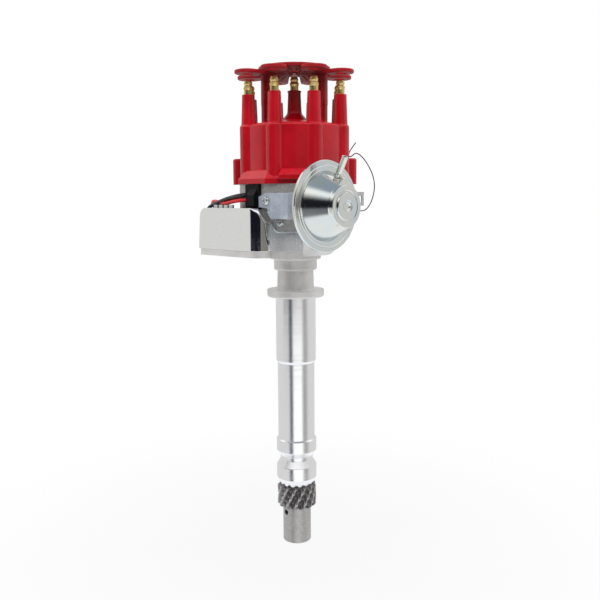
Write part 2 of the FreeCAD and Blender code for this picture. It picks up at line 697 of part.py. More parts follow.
def advance_spring(pivot, hook):
    """Extension spring with a closed eye on the pivot pin and a long loop round the cam pin."""
    length = (hook - pivot).Length
    wire = 0.7
    eye_radius = SPRING_PIN_RADIUS + 0.1
    travel = math.radians(ADVANCE) * SPRING_PIN_REACH
    loop_half = SPRING_PIN_RADIUS + 0.55
    coil_start = eye_radius + wire
    coil_end = length - SPRING_PIN_RADIUS - 1.0 - wire
    loop_end = length + travel + SPRING_PIN_RADIUS + 0.4
    turn_count = 8
    pitch = (coil_end - coil_start) / turn_count
    profile = [(0, coil_start)]
    for turn in range(turn_count):
        low = coil_start + turn * pitch
        profile += [(SPRING_RADIUS - wire / 2, low), (SPRING_RADIUS, low + pitch / 2)]
    profile += [(SPRING_RADIUS - wire / 2, coil_end), (0, coil_end)]
    coil = turned(profile)
    coil.rotate(ORIGIN, Vector(0, 1, 0), 90)
    half = wire / 2
    eye = Part.makeCylinder(eye_radius + wire, wire, Vector(0, 0, -half))
    side = loop_half + wire
    loop = prism([(coil_end - 0.3, -side, 1.5), (loop_end + wire, -side, 1.5),
                  (loop_end + wire, side, 1.5), (coil_end - 0.3, side, 1.5)], -half, half)
    opening = prism([(coil_end + wire, -loop_half, 0.8), (loop_end, -loop_half, 0.8),
                     (loop_end, loop_half, 0.8), (coil_end + wire, loop_half, 0.8)], -half, half)
    neck = block((eye_radius, coil_start + 0.5), (-wire / 2, wire / 2), (-half, half))
    body = fused(coil, loop.cut(opening), eye, neck)
    body = body.cut(Part.makeCylinder(eye_radius, wire, Vector(0, 0, -half)))
    azimuth = math.degrees(math.atan2(hook.y - pivot.y, hook.x - pivot.x))
    body.rotate(ORIGIN, UP, azimuth)
    body.translate(Vector(pivot.x, pivot.y, SPRING_LEVEL))
    return body


def rotor():
    """Plastic rotor: a round base, and a raised arm under the contact."""
    base = cylinder(ROTOR_RADIUS, ROTOR_BASE, ROTOR_TOP)
    half = ROTOR_ARM_WIDTH / 2
    arm_end = ROTOR_RADIUS - 2
    arm = prism([(-half, -10, 6.9), (half, -10, 6.9), (half, arm_end, 1), (-half, arm_end, 1)],
                ROTOR_TOP - 0.5, ROTOR_ARM_TOP)
    web_half = ROTOR_RADIUS - 9
    web = block((-web_half, web_half), (-2, 2), (ROTOR_TOP - 0.5, ROTOR_TOP + 4))
    shaft_room = cylinder(UPPER_SHAFT_RADIUS + 3, ROTOR_BASE, ROTOR_BASE + 1.5)
    places = [Vector(x, 0, 0) for x in (-POST_REACH, POST_REACH)]
    web = web.cut([cylinder(4.2, ROTOR_TOP - 0.5, ROTOR_TOP + 4, place) for place in places])
    return fused(base, arm, web).cut([shaft_room, rotor_screw_set(), contact_pin()])


def contact_pin():
    """Rivet that holds the contact on the rotor arm."""
    return cylinder(1.5, ROTOR_ARM_TOP - 5, ROTOR_ARM_TOP, Vector(0, 18, 0))


def rotor_contact():
    """Brass strip from the sprung centre leaf to the tip that passes the cap's electrodes."""
    sheet = 1.2
    leaf = 0.7
    top = BRUSH_BOTTOM - CLEAR
    side = [(ROTOR_TIP, ROTOR_ARM_TOP), (ROTOR_TIP, ROTOR_ARM_TOP + sheet), (12, ROTOR_ARM_TOP + sheet),
            (1.5, top), (-2.5, top), (-2.5, top - leaf), (1.2, top - leaf), (11.2, ROTOR_ARM_TOP)]
    points = [(Vector(-2.6, p[0], p[1]), 0) for p in side]
    strip = Part.Face(rounded_wire(points)).extrude(Vector(5.2, 0, 0))
    return fused(strip, contact_pin())


def rotor_screw_set():
    """Two screws from the rotor into the posts of the weight plate."""
    screw = pan_screw(3.4, 2.0, 1.6, ROTOR_TOP - ROTOR_BASE + 6)
    return Part.makeCompound([placed(screw, Vector(x, 0, ROTOR_TOP)) for x in (-POST_REACH, POST_REACH)])


# Cap, terminals and wire retainer

def octagon(radius, height):
    """Rim outline with a short flat on each side and a long one at each corner."""
    points = []
    for side in WINDOW_SIDES:
        points += [polar(radius, side - RIM_FLAT, height), polar(radius, side + RIM_FLAT, height)]
    return Part.makePolygon(points + [points[0]])


def rib_and_tower():
    """Rib up the cap's side with the terminal tower on it, standing at the origin."""
    shoulder = 3.0
    return turned([(0, CAP_BOTTOM), (TOWER_RIB_RADIUS, CAP_BOTTOM),
                   (TOWER_RIB_RADIUS, TOWER_BASE, shoulder - 0.5),
                   (TOWER_BASE_RADIUS, TOWER_BASE + 0.6, 0.5),
                   (TOWER_TOP_RADIUS, TOWER_TOP, 0.4), (0, TOWER_TOP)])


def rim_pad(azimuth):
    """Pad on the skirt with a sloped top, between two ribs."""
    inner = CAP_CAVITY + 0.5
    outer = RIM_RADIUS - 1.6
    low = SKIRT_BOTTOM + 2.7
    foot = block((inner, outer), (-11.5, 11.5), (SKIRT_BOTTOM - 0.5, low))
    wires = []
    for reach, half, height in ((outer, 11.5, low), (CAP_RADIUS + 1.6, 9.5, SKIRT_TOP + 0.9)):
        corners = [Vector(reach, -half, height), Vector(reach, half, height), Vector(inner, half, height),
                   Vector(inner, -half, height)]
        wires.append(Part.makePolygon(corners + [corners[0]]))
    return around(foot.fuse(Part.makeLoft(wires, True, True)), azimuth)


def hold_down_ear():
    """Upright ear that takes a cap screw, at azimuth 0."""
    foot = 3.0
    boss = turned([(0, CAP_BOTTOM), (EAR_RADIUS, CAP_BOTTOM), (EAR_RADIUS, EAR_TOP - 1),
                   (EAR_RADIUS - 1, EAR_TOP), (0, EAR_TOP)])
    boss.translate(Vector(EAR_REACH, 0, 0))
    web = block((CAP_CAVITY + 1, EAR_REACH), (-EAR_RADIUS, EAR_RADIUS), (CAP_BOTTOM, EAR_TOP - foot))
    return fused(boss, web)


def cap_blank():
    """Outer form of the cap, without its cavity and holes."""
    rim = Part.Face(octagon(RIM_RADIUS, CAP_BOTTOM)).extrude(Vector(0, 0, RIM_HEIGHT))
    edges = [octagon(RIM_RADIUS - 0.4, SKIRT_BOTTOM), octagon(CAP_RADIUS + 2.4, SKIRT_TOP)]
    skirt = Part.makeLoft(edges, True, True)
    crown = CENTRE_FLARE_RADIUS + 2
    drum = turned([(0, CAP_BOTTOM), (CAP_RADIUS, CAP_BOTTOM), (CAP_RADIUS, DRUM_TOP, CAP_EDGE),
                   (crown, CAP_TOP),
                   (0, CAP_TOP)])
    rib = placed(rib_and_tower(), Vector(TOWER_REACH, 0, 0))
    ribs = [around(rib, FIRST_TOWER + index * STEP) for index in range(CYLINDERS)]
    ears = [around(hold_down_ear(), azimuth) for azimuth in EAR_AZIMUTHS]
    pads = [rim_pad(azimuth) for azimuth in (135, 315)]
    centre = turned([(0, CAP_TOP - 1), (crown, CAP_TOP - 1), (CENTRE_FLARE_RADIUS, CAP_TOP + 0.8, 1.2),
                     (CENTRE_TOWER_RADIUS + 0.6, CAP_TOP + CENTRE_FLARE_HEIGHT, 4),
                     (CENTRE_TOWER_RADIUS, CENTRE_TOWER_TOP - 1.5),
                     (CENTRE_TOWER_RADIUS + 0.4, CENTRE_TOWER_TOP - 1.0),
                     (CENTRE_TOWER_RADIUS + 0.3, CENTRE_TOWER_TOP), (0, CENTRE_TOWER_TOP)])
    bosses = [cylinder(POST_BOSS_RADIUS, DRUM_TOP, POST_BOSS_TOP, polar(POST_BOSS_REACH, azimuth))
              for azimuth in EAR_AZIMUTHS]
    return fused(drum, rim, skirt, *ribs, *ears, *pads, centre, *bosses)


def distributor_cap():
    """Moulded cap with eight outer towers and the coil tower."""
    lip_outer = BOWL_INNER - CLEAR
    lip = ring(lip_outer, CAP_CAVITY, CAP_BOTTOM - 2, CAP_BOTTOM + 0.5)
    cavity = turned([(0, CAP_BOTTOM - 2), (CAP_CAVITY, CAP_BOTTOM - 2), (CAP_CAVITY, CAP_ROOF - 12, 3),
                     (CAP_CAVITY - 8, CAP_ROOF, 3), (0, CAP_ROOF)])
    guide = cylinder(BRUSH_RADIUS + 3, BRUSH_BOTTOM + 4, CAP_ROOF + 1)
    body = fused(cap_blank().cut(cavity), guide, lip)
    holes = [brush_bore(), ear_holes(), retainer_screw_blanks()]
    return body.cut([outer_terminal_set(), centre_terminal(), *holes])


def brush_bore():
    """Bore that the carbon brush slides in, below the centre terminal."""
    return cylinder(BRUSH_RADIUS + RUNNING, BRUSH_BOTTOM, BRUSH_SPRING_TOP)


def terminal_profile(base, shank):
    """Outline of a grooved male terminal that stands on a tower."""
    r = TERMINAL_RADIUS
    h = TERMINAL_HEIGHT / 10
    return [(0, base - 1), (shank, base - 1), (shank, base), (r, base), (r, base + 3.2 * h),
            (r + 0.42, base + 4.6 * h, 0.5), (r + 0.1, base + 5.8 * h), (r - 0.45, base + 6.5 * h, 0.3),
            (r, base + 7.4 * h, 0.4), (r, base + 8.3 * h, 0.4), (r - 0.75, base + 10 * h),
            (0, base + 10 * h)]


def outer_terminal():
    """Brass terminal, its stem through the tower and the electrode inside the cap, at azimuth 0."""
    shank = 2.0
    top = turned(terminal_profile(TOWER_TOP, shank))
    top.translate(Vector(TOWER_REACH, 0, 0))
    stem = cylinder(shank, ELECTRODE_BOTTOM, TOWER_TOP, Vector(TOWER_REACH, 0, 0))
    electrode = block((ELECTRODE_INNER, TOWER_REACH), (-2.5, 2.5),
                      (ELECTRODE_BOTTOM, ELECTRODE_BOTTOM + ELECTRODE_HEIGHT))
    electrode = electrode.cut(cylinder(ELECTRODE_INNER, ELECTRODE_BOTTOM,
                                       ELECTRODE_BOTTOM + ELECTRODE_HEIGHT))
    return fused(top, stem, electrode)


def outer_terminal_set():
    """One terminal for each cylinder."""
    terminal = outer_terminal()
    return Part.makeCompound([around(terminal, FIRST_TOWER + index * STEP) for index in range(CYLINDERS)])


def centre_terminal():
    """Brass coil terminal, down to the brush spring."""
    return fused(turned(terminal_profile(CENTRE_TOWER_TOP, 2.0)),
                 cylinder(2.0, BRUSH_SPRING_TOP, CENTRE_TOWER_TOP))


def carbon_brush():
    """Carbon brush that rides on the rotor's leaf."""
    return cylinder(BRUSH_RADIUS, BRUSH_BOTTOM, BRUSH_TOP)


def brush_spring():
    """Coil spring between the brush and the centre terminal."""
    low = BRUSH_TOP
    high = BRUSH_SPRING_TOP
    turn_count = 5
    pitch = (high - low) / turn_count
    outer = BRUSH_RADIUS - 0.2
    profile = [(outer - 0.8, low)]
    for turn in range(turn_count):
        profile += [(outer - 0.3, low + turn * pitch), (outer, low + (turn + 0.5) * pitch)]
    profile += [(outer - 0.3, high), (outer - 0.8, high)]
    return turned(profile)


def cap_screw_set():
    """Long screws down through the cap's ears into the bowl's rim."""
    seat = EAR_TOP - EAR_SINK
    screw = pan_screw(2.6, 1.6, 1.5, seat - CAP_BOTTOM)
    return Part.makeCompound([placed(screw, polar(EAR_REACH, azimuth, seat)) for azimuth in EAR_AZIMUTHS])


def ear_holes():
    """Screw holes down the ears, sunk for the heads."""
    holes = []
    for azimuth in EAR_AZIMUTHS:
        place = polar(EAR_REACH, azimuth)
        holes.append(cylinder(1.5, CAP_BOTTOM, EAR_TOP, place))
        holes.append(cylinder(2.9, EAR_TOP - EAR_SINK, EAR_TOP, place))
    return Part.makeCompound(holes)


def retainer_screw_blanks():
    """Room of the countersunk screws down through the retainer's legs into the cap's bosses."""
    low = POST_BOSS_TOP - 12
    screw = turned([(0, low), (1.6, low), (1.6, HUB_TOP - 2.4), (3.2, HUB_TOP - 0.4), (0, HUB_TOP - 0.4)])
    return Part.makeCompound([placed(screw, polar(POST_BOSS_REACH, azimuth)) for azimuth in EAR_AZIMUTHS])


def retainer_screw_set():
    """The two countersunk screws, with their slots."""
    slot = block((-2.4, 2.4), (-0.4, 0.4), (HUB_TOP - 1.2, HUB_TOP - 0.4))
    slots = [placed(slot, polar(POST_BOSS_REACH, azimuth)) for azimuth in EAR_AZIMUTHS]
    return retainer_screw_blanks().cut(slots)


def retainer_arm():
    """Arm from the hub to one loop, widening outwards, at azimuth 0."""
    start = HUB_RADIUS - 1.5
    side = [(start, HUB_BOTTOM), (start, HUB_TOP), (LOOP_REACH - LOOP_RADIUS, LOOP_TOP),
            (LOOP_REACH, LOOP_TOP),
            (LOOP_REACH, LOOP_BOTTOM), (LOOP_REACH - LOOP_RADIUS, LOOP_BOTTOM)]
    corners = [(Vector(x, -LOOP_RADIUS, z), 0) for x, z in side]
    strip = Part.Face(rounded_wire(corners)).extrude(Vector(0, 2 * LOOP_RADIUS, 0))
    half = ARM_ROOT_HALF
    plan = prism([(start, -half), (LOOP_REACH - 3, -LOOP_RADIUS + 1.2), (LOOP_REACH, -LOOP_RADIUS + 2),
                  (LOOP_REACH, LOOP_RADIUS - 2), (LOOP_REACH - 3, LOOP_RADIUS - 1.2), (start, half)],
                 LOOP_BOTTOM, HUB_TOP)
    rib_end = LOOP_REACH - LOOP_RADIUS - 2
    rib_side = [(start, HUB_BOTTOM - ARM_RIB_DEPTH), (start, HUB_BOTTOM + 1), (rib_end, LOOP_BOTTOM + 1),
                (rib_end, LOOP_BOTTOM)]
    rib_corners = [(Vector(x, -0.6, z), 0) for x, z in rib_side]
    rib = Part.Face(rounded_wire(rib_corners)).extrude(Vector(0, 1.2, 0))
    return fused(strip.common(plan), rib)


def retainer_loop():
    """Rounded ring that one plug wire passes through, at azimuth 0."""
    edge = LOOP_THICKNESS * 0.3
    loop = turned([(LOOP_HOLE, LOOP_BOTTOM), (LOOP_RADIUS, LOOP_BOTTOM, edge), (LOOP_RADIUS, LOOP_TOP, edge),
                   (LOOP_HOLE, LOOP_TOP)])
    loop.translate(Vector(LOOP_REACH, 0, 0))
    return loop


def wire_retainer():
    """Moulded spider of eight loops on two legs, which keeps the plug wires on their terminals."""
    hub = ring(HUB_RADIUS, HUB_HOLE, HUB_BOTTOM, HUB_TOP)
    body = [hub]
    for index in range(CYLINDERS):
        azimuth = FIRST_TOWER + index * STEP
        body.append(around(retainer_arm(), azimuth))
        body.append(around(retainer_loop(), azimuth))
    leg_radius = POST_BOSS_RADIUS + 0.2
    for azimuth in EAR_AZIMUTHS:
        body.append(cylinder(leg_radius, POST_BOSS_TOP, HUB_TOP, polar(POST_BOSS_REACH, azimuth)))
        bridge = block((HUB_RADIUS - 2, POST_BOSS_REACH), (-leg_radius, leg_radius), (HUB_BOTTOM, HUB_TOP))
        body.append(around(bridge, azimuth))
    solid = fused(*body)
    holes = [cylinder(LOOP_HOLE, LOOP_BOTTOM, LOOP_TOP, polar(LOOP_REACH, FIRST_TOWER + index * STEP))
             for index in range(CYLINDERS)]
    caps = [cylinder(3.2, HUB_TOP - 0.4, HUB_TOP, polar(POST_BOSS_REACH, azimuth))
            for azimuth in EAR_AZIMUTHS]
    return solid.cut([*holes, *caps, retainer_screw_blanks()])


# Module, cover, grommet and leads

def sweep_cut(start, end):
    """Block above the cover's wall whose lower edge sweeps down from the high wall to the low one."""
    high = COVER_TOP + 5
    span = end - start
    poles = ((0, COVER_TOP), (0.24, COVER_TOP), (0.26, COVER_TOP - 8), (0.53, COVER_LOW_TOP),
             (1, COVER_LOW_TOP))
    edge = Part.BSplineCurve()
    edge.buildFromPoles([Vector(start + share * span, -80, height) for share, height in poles])
    corners = [Vector(end, -80, COVER_LOW_TOP), Vector(80, -80, COVER_LOW_TOP), Vector(80, -80, high),
               Vector(start, -80, high), Vector(start, -80, COVER_TOP)]
    runs = [Part.LineSegment(corners[index], corners[index + 1]).toShape()
            for index in range(len(corners) - 1)]
    return Part.Face(Part.Wire([edge.toShape(), *runs])).extrude(Vector(0, 160, 0))


def module_cover():
    """Plated cover: a high wall round the module that sweeps down to a low skirt about the bowl."""
    wall = COVER_OVERHANG - COVER_WALL
    bottom = BASE_TOP
    outer = base_shape(COVER_OVERHANG, bottom, COVER_TOP, BASE_LEFT + COVER_END)
    inner = base_shape(wall, bottom + COVER_FLOOR, COVER_TOP, BASE_LEFT - COVER_WALL)
    edge = BASE_LEFT + COVER_END
    side = [(-edge, bottom), (-edge + COVER_DRAFT, COVER_TOP, 4.0), (edge, COVER_TOP), (edge, bottom)]
    face = Part.Face(rounded_wire([(Vector(p[0], -80, p[1]), p[2] if len(p) > 2 else 0) for p in side]))
    shell = outer.common(face.extrude(Vector(0, 160, 0))).cut(inner)
    beside_can = sweep_cut(BASE_CORNER_X + 6.5, BASE_CORNER_X + 25)
    return shell.cut([beside_can, bowl_outside(CLEAR, COVER_TOP), cover_screw_set(), module_screw_set()])


def cover_screw_set():
    """Screws through the cover's floor into the base plate."""
    screw = pan_screw(2.6, 1.6, 1.5, COVER_FLOOR + 3.5)
    seat = BASE_TOP + COVER_FLOOR
    return Part.makeCompound([placed(screw, Vector(x, y, seat)) for x, y in ((-48.5, -27.5), (0, -48.2))])


def module_screw_set():
    """Screws down through the ignition module into the base plate."""
    screw = pan_screw(2.4, 1.4, 1.3, MODULE_TOP - BASE_TOP + 3.5)
    return Part.makeCompound([placed(screw, Vector(x, y, MODULE_TOP))
                              for x, y in ((-38, -36.5), (-11.8, -47.5))])


def ignition_module():
    """Moulded ignition module that stands in the cover, thicker at its left end."""
    front = -BASE_FRONT + COVER_WALL - COVER_OVERHANG + 0.6
    left = -BASE_LEFT + COVER_WALL + 1.2
    right = BASE_CORNER_X - 14.4
    back = front + MODULE_DEPTH
    body = prism([(left, front, 1), (right, front, 1), (right, back, 1), (left, back, 1)],
                 BASE_TOP + COVER_FLOOR, MODULE_TOP)
    return body.cut([cylinder(BOWL_RADIUS + 1, BASE_TOP, MODULE_TOP), module_screw_set()])


def module_terminals():
    """Flat blade terminals on the module."""
    blade = block((-1.6, 1.6), (-0.4, 0.4), (0, 6.8))
    return Part.makeCompound([placed(blade, Vector(x, -47.0, MODULE_TOP))
                              for x in (-36.5, -30.5, -24.5, -18.5)])


def grommet_slot():
    """Slot in the bowl's wall that the grommet slides down into."""
    half = 6.0
    return block((-half, half), (-BOWL_RADIUS - 1, -BOWL_INNER + 2), (70.0, BOWL_RIM + 1))


def wire_grommet():
    """Rubber block in the bowl's slot, with a lip outside and a raised nose beside the leads."""
    top = BOWL_RIM - 0.3
    face = GROMMET_FACE
    lip = block((-7.4, 7.4), (face, -BOWL_RADIUS + 3),
                (69.4, top)).cut(cylinder(BOWL_RADIUS, 60, BOWL_RIM + 5))
    neck = grommet_slot().common(cylinder(BOWL_RADIUS, 60, BOWL_RIM + 5)).common(
        block((-10, 10), (-BOWL_RADIUS, -BOWL_INNER), (60, top)))
    side = [(face, 70.4), (face - 3.0, 71.6), (face - 3.0, 79.6), (face, 84.0)]
    points = [(Vector(-2.6, y, z), 0) for y, z in side]
    nose = Part.Face(rounded_wire(points)).extrude(Vector(8.0, 0, 0))
    return fused(lip, neck, nose)


def lead(points, radius):
    """Round lead along straight runs joined by tangent arcs."""
    vectors = [Vector(*point) for point in points]
    corners = [(vectors[0], 0)]
    radii = []
    for before, point, after in zip(vectors, vectors[1:], vectors[2:]):
        half = (before - point).getAngle(after - point) / 2
        shorter = min((before - point).Length, (after - point).Length)
        bend = 0.45 * shorter * math.tan(half)
        radii.append(round(bend, 1))
        corners.append((point, bend))
    corners.append((vectors[-1], 0))
    path = rounded_wire(corners, False)
    section = Part.Wire(Part.makeCircle(radius, vectors[0], vectors[1] - vectors[0]))
    solid = path.makePipeShell([section], True, False)
    expected = math.pi * radius ** 2 * path.Length
    print("route", round(path.Length, 1), "mm, bends", radii, "volume ratio",
          round(solid.Volume / expected, 4))
    return solid


def lead_black_front():
    """Black lead that passes in front, from grommet to module."""
    return lead([(-5.2, GROMMET_FACE, 80.8), (-5.2, -48.8, 80.8), (-11.0, -49.4, 80.2), (-18.7, -49.2, 79.0),
                 (-27.6, -49.0, 76.9), (-37.4, -48.8, 73.8), (-46.4, -48.4, 71.2), (-49.7, -47.2, 68.2),
                 (-49.7, -47.2, MODULE_TOP)], LEAD_RADIUS)


def lead_black_back():
    """Black lead that passes behind the other."""
    return lead([(-5.2, GROMMET_FACE, 77.6), (-5.2, -47.6, 77.6), (-12.4, -46.6, 77.9), (-20.6, -46.2, 77.0),
                 (-30.1, -46.2, 75.0), (-39.6, -46.0, 71.8), (-45.8, -44.9, 68.6),
                 (-45.8, -44.9, MODULE_TOP)],
                LEAD_RADIUS)


def lead_red():
    """Red lead that crosses under the black pair and over to the module."""
    return lead([(-5.2, GROMMET_FACE, 74.4), (-5.2, -48.6, 74.4), (-11.4, -49.3, 75.3), (-18.4, -49.0, 74.2),
                 (-24.8, -45.6, 72.4), (-31.4, -41.8, 74.8), (-38.6, -41.4, 76.6), (-44.8, -41.0, 75.2),
                 (-47.2, -39.8, 71.2), (-44.4, -38.4, 68.0), (-44.4, -38.4, MODULE_TOP)], LEAD_RADIUS)


# Vacuum advance

def rod_slot():
    """Slot through the bowl's wall for the vacuum rod."""
    half = ROD_WIDTH / 2 + 2
    return block((15, 50), (CAN_Y - half, CAN_Y + half), (CAN_Z - half, CAN_Z + half))


def bracket_screw_place():
    """Seat of the bracket's screw."""
    return Vector(16.5, -BRACKET_FACE, 75.4)


def bracket_screw_set():
    """Screw through the bracket into the bowl, and the one below it in the bowl's side."""
    screw = pan_screw(3.3, 2.4, 1.8, 9.0)
    side = polar(BOWL_RADIUS, SIDE_SCREW_AZIMUTH, SIDE_SCREW_Z)
    outward = polar(1, SIDE_SCREW_AZIMUTH)
    seat = placed(cylinder(2.9, -1, 0.5), side, outward)
    lower = placed(pan_screw(2.5, 1.9, 1.6, 2.9), side + outward * 0.5, outward)
    lower = fused(lower, seat.cut(cylinder(BOWL_RADIUS, 0, BOWL_RIM)))
    return Part.makeCompound([placed(screw, bracket_screw_place(), Vector(0, -1, 0)), lower])


def bracket_screw_holes():
    """Holes for the bracket screws in the housing."""
    side = polar(BOWL_RADIUS, SIDE_SCREW_AZIMUTH, SIDE_SCREW_Z)
    outward = polar(1, SIDE_SCREW_AZIMUTH)
    upper = bar(bracket_screw_place(), bracket_screw_place() + Vector(0, 9, 0), 1.8)
    return Part.makeCompound([upper, bar(side - outward * 2.4, side + outward, 1.6)])


def vacuum_bracket():
    """Bent sheet bracket from the bowl to the back of the canister."""
    outer = -BRACKET_FACE
    inner = outer + BRACKET_SHEET
    back = CAN_BACK
    foot = back - BRACKET_SHEET
    bend_x = back - 18.3
    end_y = CAN_Y + 11
    plan = prism([(7.9, outer), (bend_x, outer, 4.0), (back, outer + 5), (back, end_y), (foot, end_y),
                  (foot, inner + 5.5, 1.0), (bend_x - 0.3, inner, 2.4), (7.9, inner)], BRACKET_BOTTOM,
                  BRACKET_TOP)
    chamfers = []
    notch = ((7, 71.0), (14.0, 70.2), (17.3, 70.0), (17.3, 66.2), (21.6, 62.0), (7, 62.0))
    for corners in (((7, 78.1), (17, 81.4), (7, 81.4)), notch):
        points = [(Vector(x, -60, z), 0) for x, z in corners]
        chamfers.append(Part.Face(rounded_wire(points)).extrude(Vector(0, 20, 0)))
    rod_room = bar(Vector(foot - 1, CAN_Y, CAN_Z), Vector(back + 1, CAN_Y, CAN_Z), 5.2)
    dimple = Part.makeSphere(2.6, Vector(18.6, outer - 2.0, 68.2))
    return plan.cut([*chamfers, rod_room, dimple, bracket_screw_set()])


def front_shell_outer():
    """Outer profile of the canister's front shell, as (radius, distance along the axis)."""
    rim = CAN_RIM_FRONT
    face = CAN_FACE
    disc = 9.6
    return [(0, CAN_RIM_BACK), (CAN_RADIUS, CAN_RIM_BACK, 0.6), (CAN_RADIUS, rim, 0.7), (28.8, rim),
            (28.3, rim - 0.35), (27.8, rim), (CONE_RADIUS, rim, 0.8), (CONE_TOP_RADIUS, face - 3.9, 0.6),
            (CONE_TOP_RADIUS - 0.6, face - 3.2), (CONE_TOP_RADIUS - 1.3, face - 0.9, 1.0),
            (disc + 1.8, face - 0.9, 0.6), (disc + 0.7, face - 1.4, 0.4), (disc, face, 0.9), (4.6, face),
            (4.0, face - 0.3), (3.2, face - 0.4), (2.2, face - 1.3, 0.6), (0, face - 1.3)]


def front_shell_cavity():
    """Inside of the front shell, with the room that its rim folds round."""
    inner_rim = CAN_RADIUS - CAN_SHEET
    lip = inner_rim - 0.9
    low = CAN_RIM_BACK - 0.1
    front = CAN_RIM_FRONT - CAN_SHEET
    step = CAN_FACE - 3.4
    return [(0, low), (lip, low), (lip, CAN_FOLD), (inner_rim, CAN_FOLD), (inner_rim, front),
            (CONE_RADIUS - 0.4, front), (CONE_TOP_RADIUS - 1.4, step - 0.8),
            (CONE_TOP_RADIUS - 2.4, step + 0.8),
            (8.6, step + 0.8), (8.6, step + 1.3), (0, step + 1.3)]


def nipple_line(reach):
    """Point on the nipple's axis, at a distance from its collar."""
    return Vector(73.6, CAN_Y, 92.8) + Vector(6.3, 0, 12.2).normalize() * reach


def tongue_section(reach, grow):
    """Outline of the raised centre and its tongue up to the nipple, across the canister's axis."""
    big = CONE_TOP_RADIUS - 0.8 + grow
    small = TONGUE_RADIUS + grow
    lean = math.asin((big - small) / TONGUE_RISE)
    side = Vector(0, math.cos(lean), math.sin(lean))
    foot = Vector(reach, CAN_Y, CAN_Z)
    tip = foot + Vector(0, 0, TONGUE_RISE)
    other = Vector(0, -side.y, side.z)
    edges = [Part.LineSegment(foot + side * big, tip + side * small).toShape(),
             Part.Arc(tip + side * small, tip + UP * small, tip + other * small).toShape(),
             Part.LineSegment(tip + other * small, foot + other * big).toShape(),
             Part.Arc(foot + other * big, foot - UP * big, foot + side * big).toShape()]
    return Part.Wire(edges)


def tongue():
    """Raised tongue that carries the nipple, with drafted sides and a bevelled face."""
    face = CAN_FACE - 3.0
    low = CAN_RIM_FRONT + 4
    steps = ((low, 0.8), (face - 1.2, 0), (face, -1.0))
    wires = [tongue_section(reach, grow) for reach, grow in steps]
    return Part.makeLoft(wires, True, True)


def can_front_shell():
    """Pressed front shell with its raised centre and the tongue that runs up to the nipple."""
    shell = on_can_axis(turned(front_shell_outer()))
    body = shell.fuse(tongue()).cut(on_can_axis(turned(front_shell_cavity())))
    return body.cut([bar(nipple_line(-6), nipple_line(4), NIPPLE_RADIUS), nipple_collar()]).removeSplitter()


def can_back_shell():
    """Pressed back shell, riveted to the bracket and folded into the front shell's rim."""
    rim = CAN_RADIUS - CAN_SHEET
    back = CAN_BACK
    high = CAN_FOLD + CAN_SHEET
    return on_can_axis(turned([(5.2, back), (26.4, back, 0.8), (28.6, CAN_FOLD), (rim, CAN_FOLD),
                               (rim, high),
                               (28.2, high), (26.0, back + CAN_SHEET, 0.4), (5.2, back + CAN_SHEET)]))


def diaphragm():
    """Rubber diaphragm, clamped in the canister's rim."""
    low = CAN_FOLD + CAN_SHEET
    return on_can_axis(ring(CAN_RADIUS - CAN_SHEET, 12.4, low, CAN_RIM_FRONT - CAN_SHEET))


def diaphragm_plate():
    """Cup at the diaphragm's centre that the vacuum rod is riveted to."""
    low = CAN_DISH
    return on_can_axis(turned([(0, low), (12.0, low, 0.5), (12.0, low + 2.2), (10.8, low + 2.2),
                               (10.8, low + 1.2), (0, low + 1.2)]))


def return_spring():
    """Spring that holds the diaphragm back, drawn at its length under full vacuum."""
    low = CAN_DISH + 2.2 + ROD_TRAVEL + CLEAR
    high = CAN_FACE - 2.6
    turn_count = 5
    pitch = (high - low) / turn_count
    outer = 8.2
    profile = [(outer - 2.2, low)]
    for turn in range(turn_count):
        profile += [(outer - 1.2, low + turn * pitch), (outer, low + (turn + 0.5) * pitch)]
    profile += [(outer - 1.2, high), (outer - 2.2, high)]
    return on_can_axis(turned(profile))


def vacuum_rod():
    """Flat rod from the diaphragm to the pickup plate's pin, with an eye that is open across the pull."""
    low = rod_bottom()
    high = low + ROD_THICKNESS
    end = CAN_DISH
    strip = block((0, end), (CAN_Y - ROD_WIDTH / 2, CAN_Y + ROD_WIDTH / 2), (low, high))
    eye_radius = LINK_PIN_RADIUS + 1.9
    rise = LINK_RADIUS * (1 - math.cos(math.radians(SWING))) + 0.1
    eye = cylinder(eye_radius, low, high, link_pin_place())
    hole_radius = LINK_PIN_RADIUS + 0.12
    near = link_pin_place()
    far = near + Vector(0, rise, 0)
    hole = cylinder(hole_radius, low, high, near).fuse([
        cylinder(hole_radius, low, high, far),
        block((-hole_radius, hole_radius), (near.y, far.y), (low, high))])
    return fused(strip, eye).cut(hole)


def nipple_collar():
    """Collar that the nipple seats with."""
    return bar(nipple_line(-0.8), nipple_line(1.0), NIPPLE_RADIUS + 0.9)


def vacuum_nipple():
    """Hose nipple of the canister, with its collar."""
    stem = bar(nipple_line(-5), nipple_line(13.7), NIPPLE_RADIUS)
    return fused(stem, nipple_collar()).cut(bar(nipple_line(-5), nipple_line(14), NIPPLE_BORE))


# Clip and spring wire at the bowl's side

def clip_pin():
    """Stub of the clip in the bowl's wall."""
    start = polar(BOWL_RADIUS - 2.5, CLIP_AZIMUTH, CLIP_Z)
    return bar(start, polar(BOWL_RADIUS + 1, CLIP_AZIMUTH, CLIP_Z), 1.2)


def terminal_clip():
    """Small moulded clip with a slot through it, on the bowl's side."""
    width = 4.0
    end = BOWL_RADIUS + 10.5
    body = block((BOWL_RADIUS - 3, end), (-width, width), (CLIP_Z - CLIP_HALF, CLIP_Z + CLIP_HALF))
    slot = block((end - 4.9, end - 1.6), (-width, width),
                 (CLIP_Z - CLIP_HALF + 2.0, CLIP_Z + CLIP_HALF - 3.0))
    body = around(body.cut(slot), CLIP_AZIMUTH).cut(cylinder(BOWL_RADIUS, 60, BOWL_RIM))
    return fused(body, clip_pin())


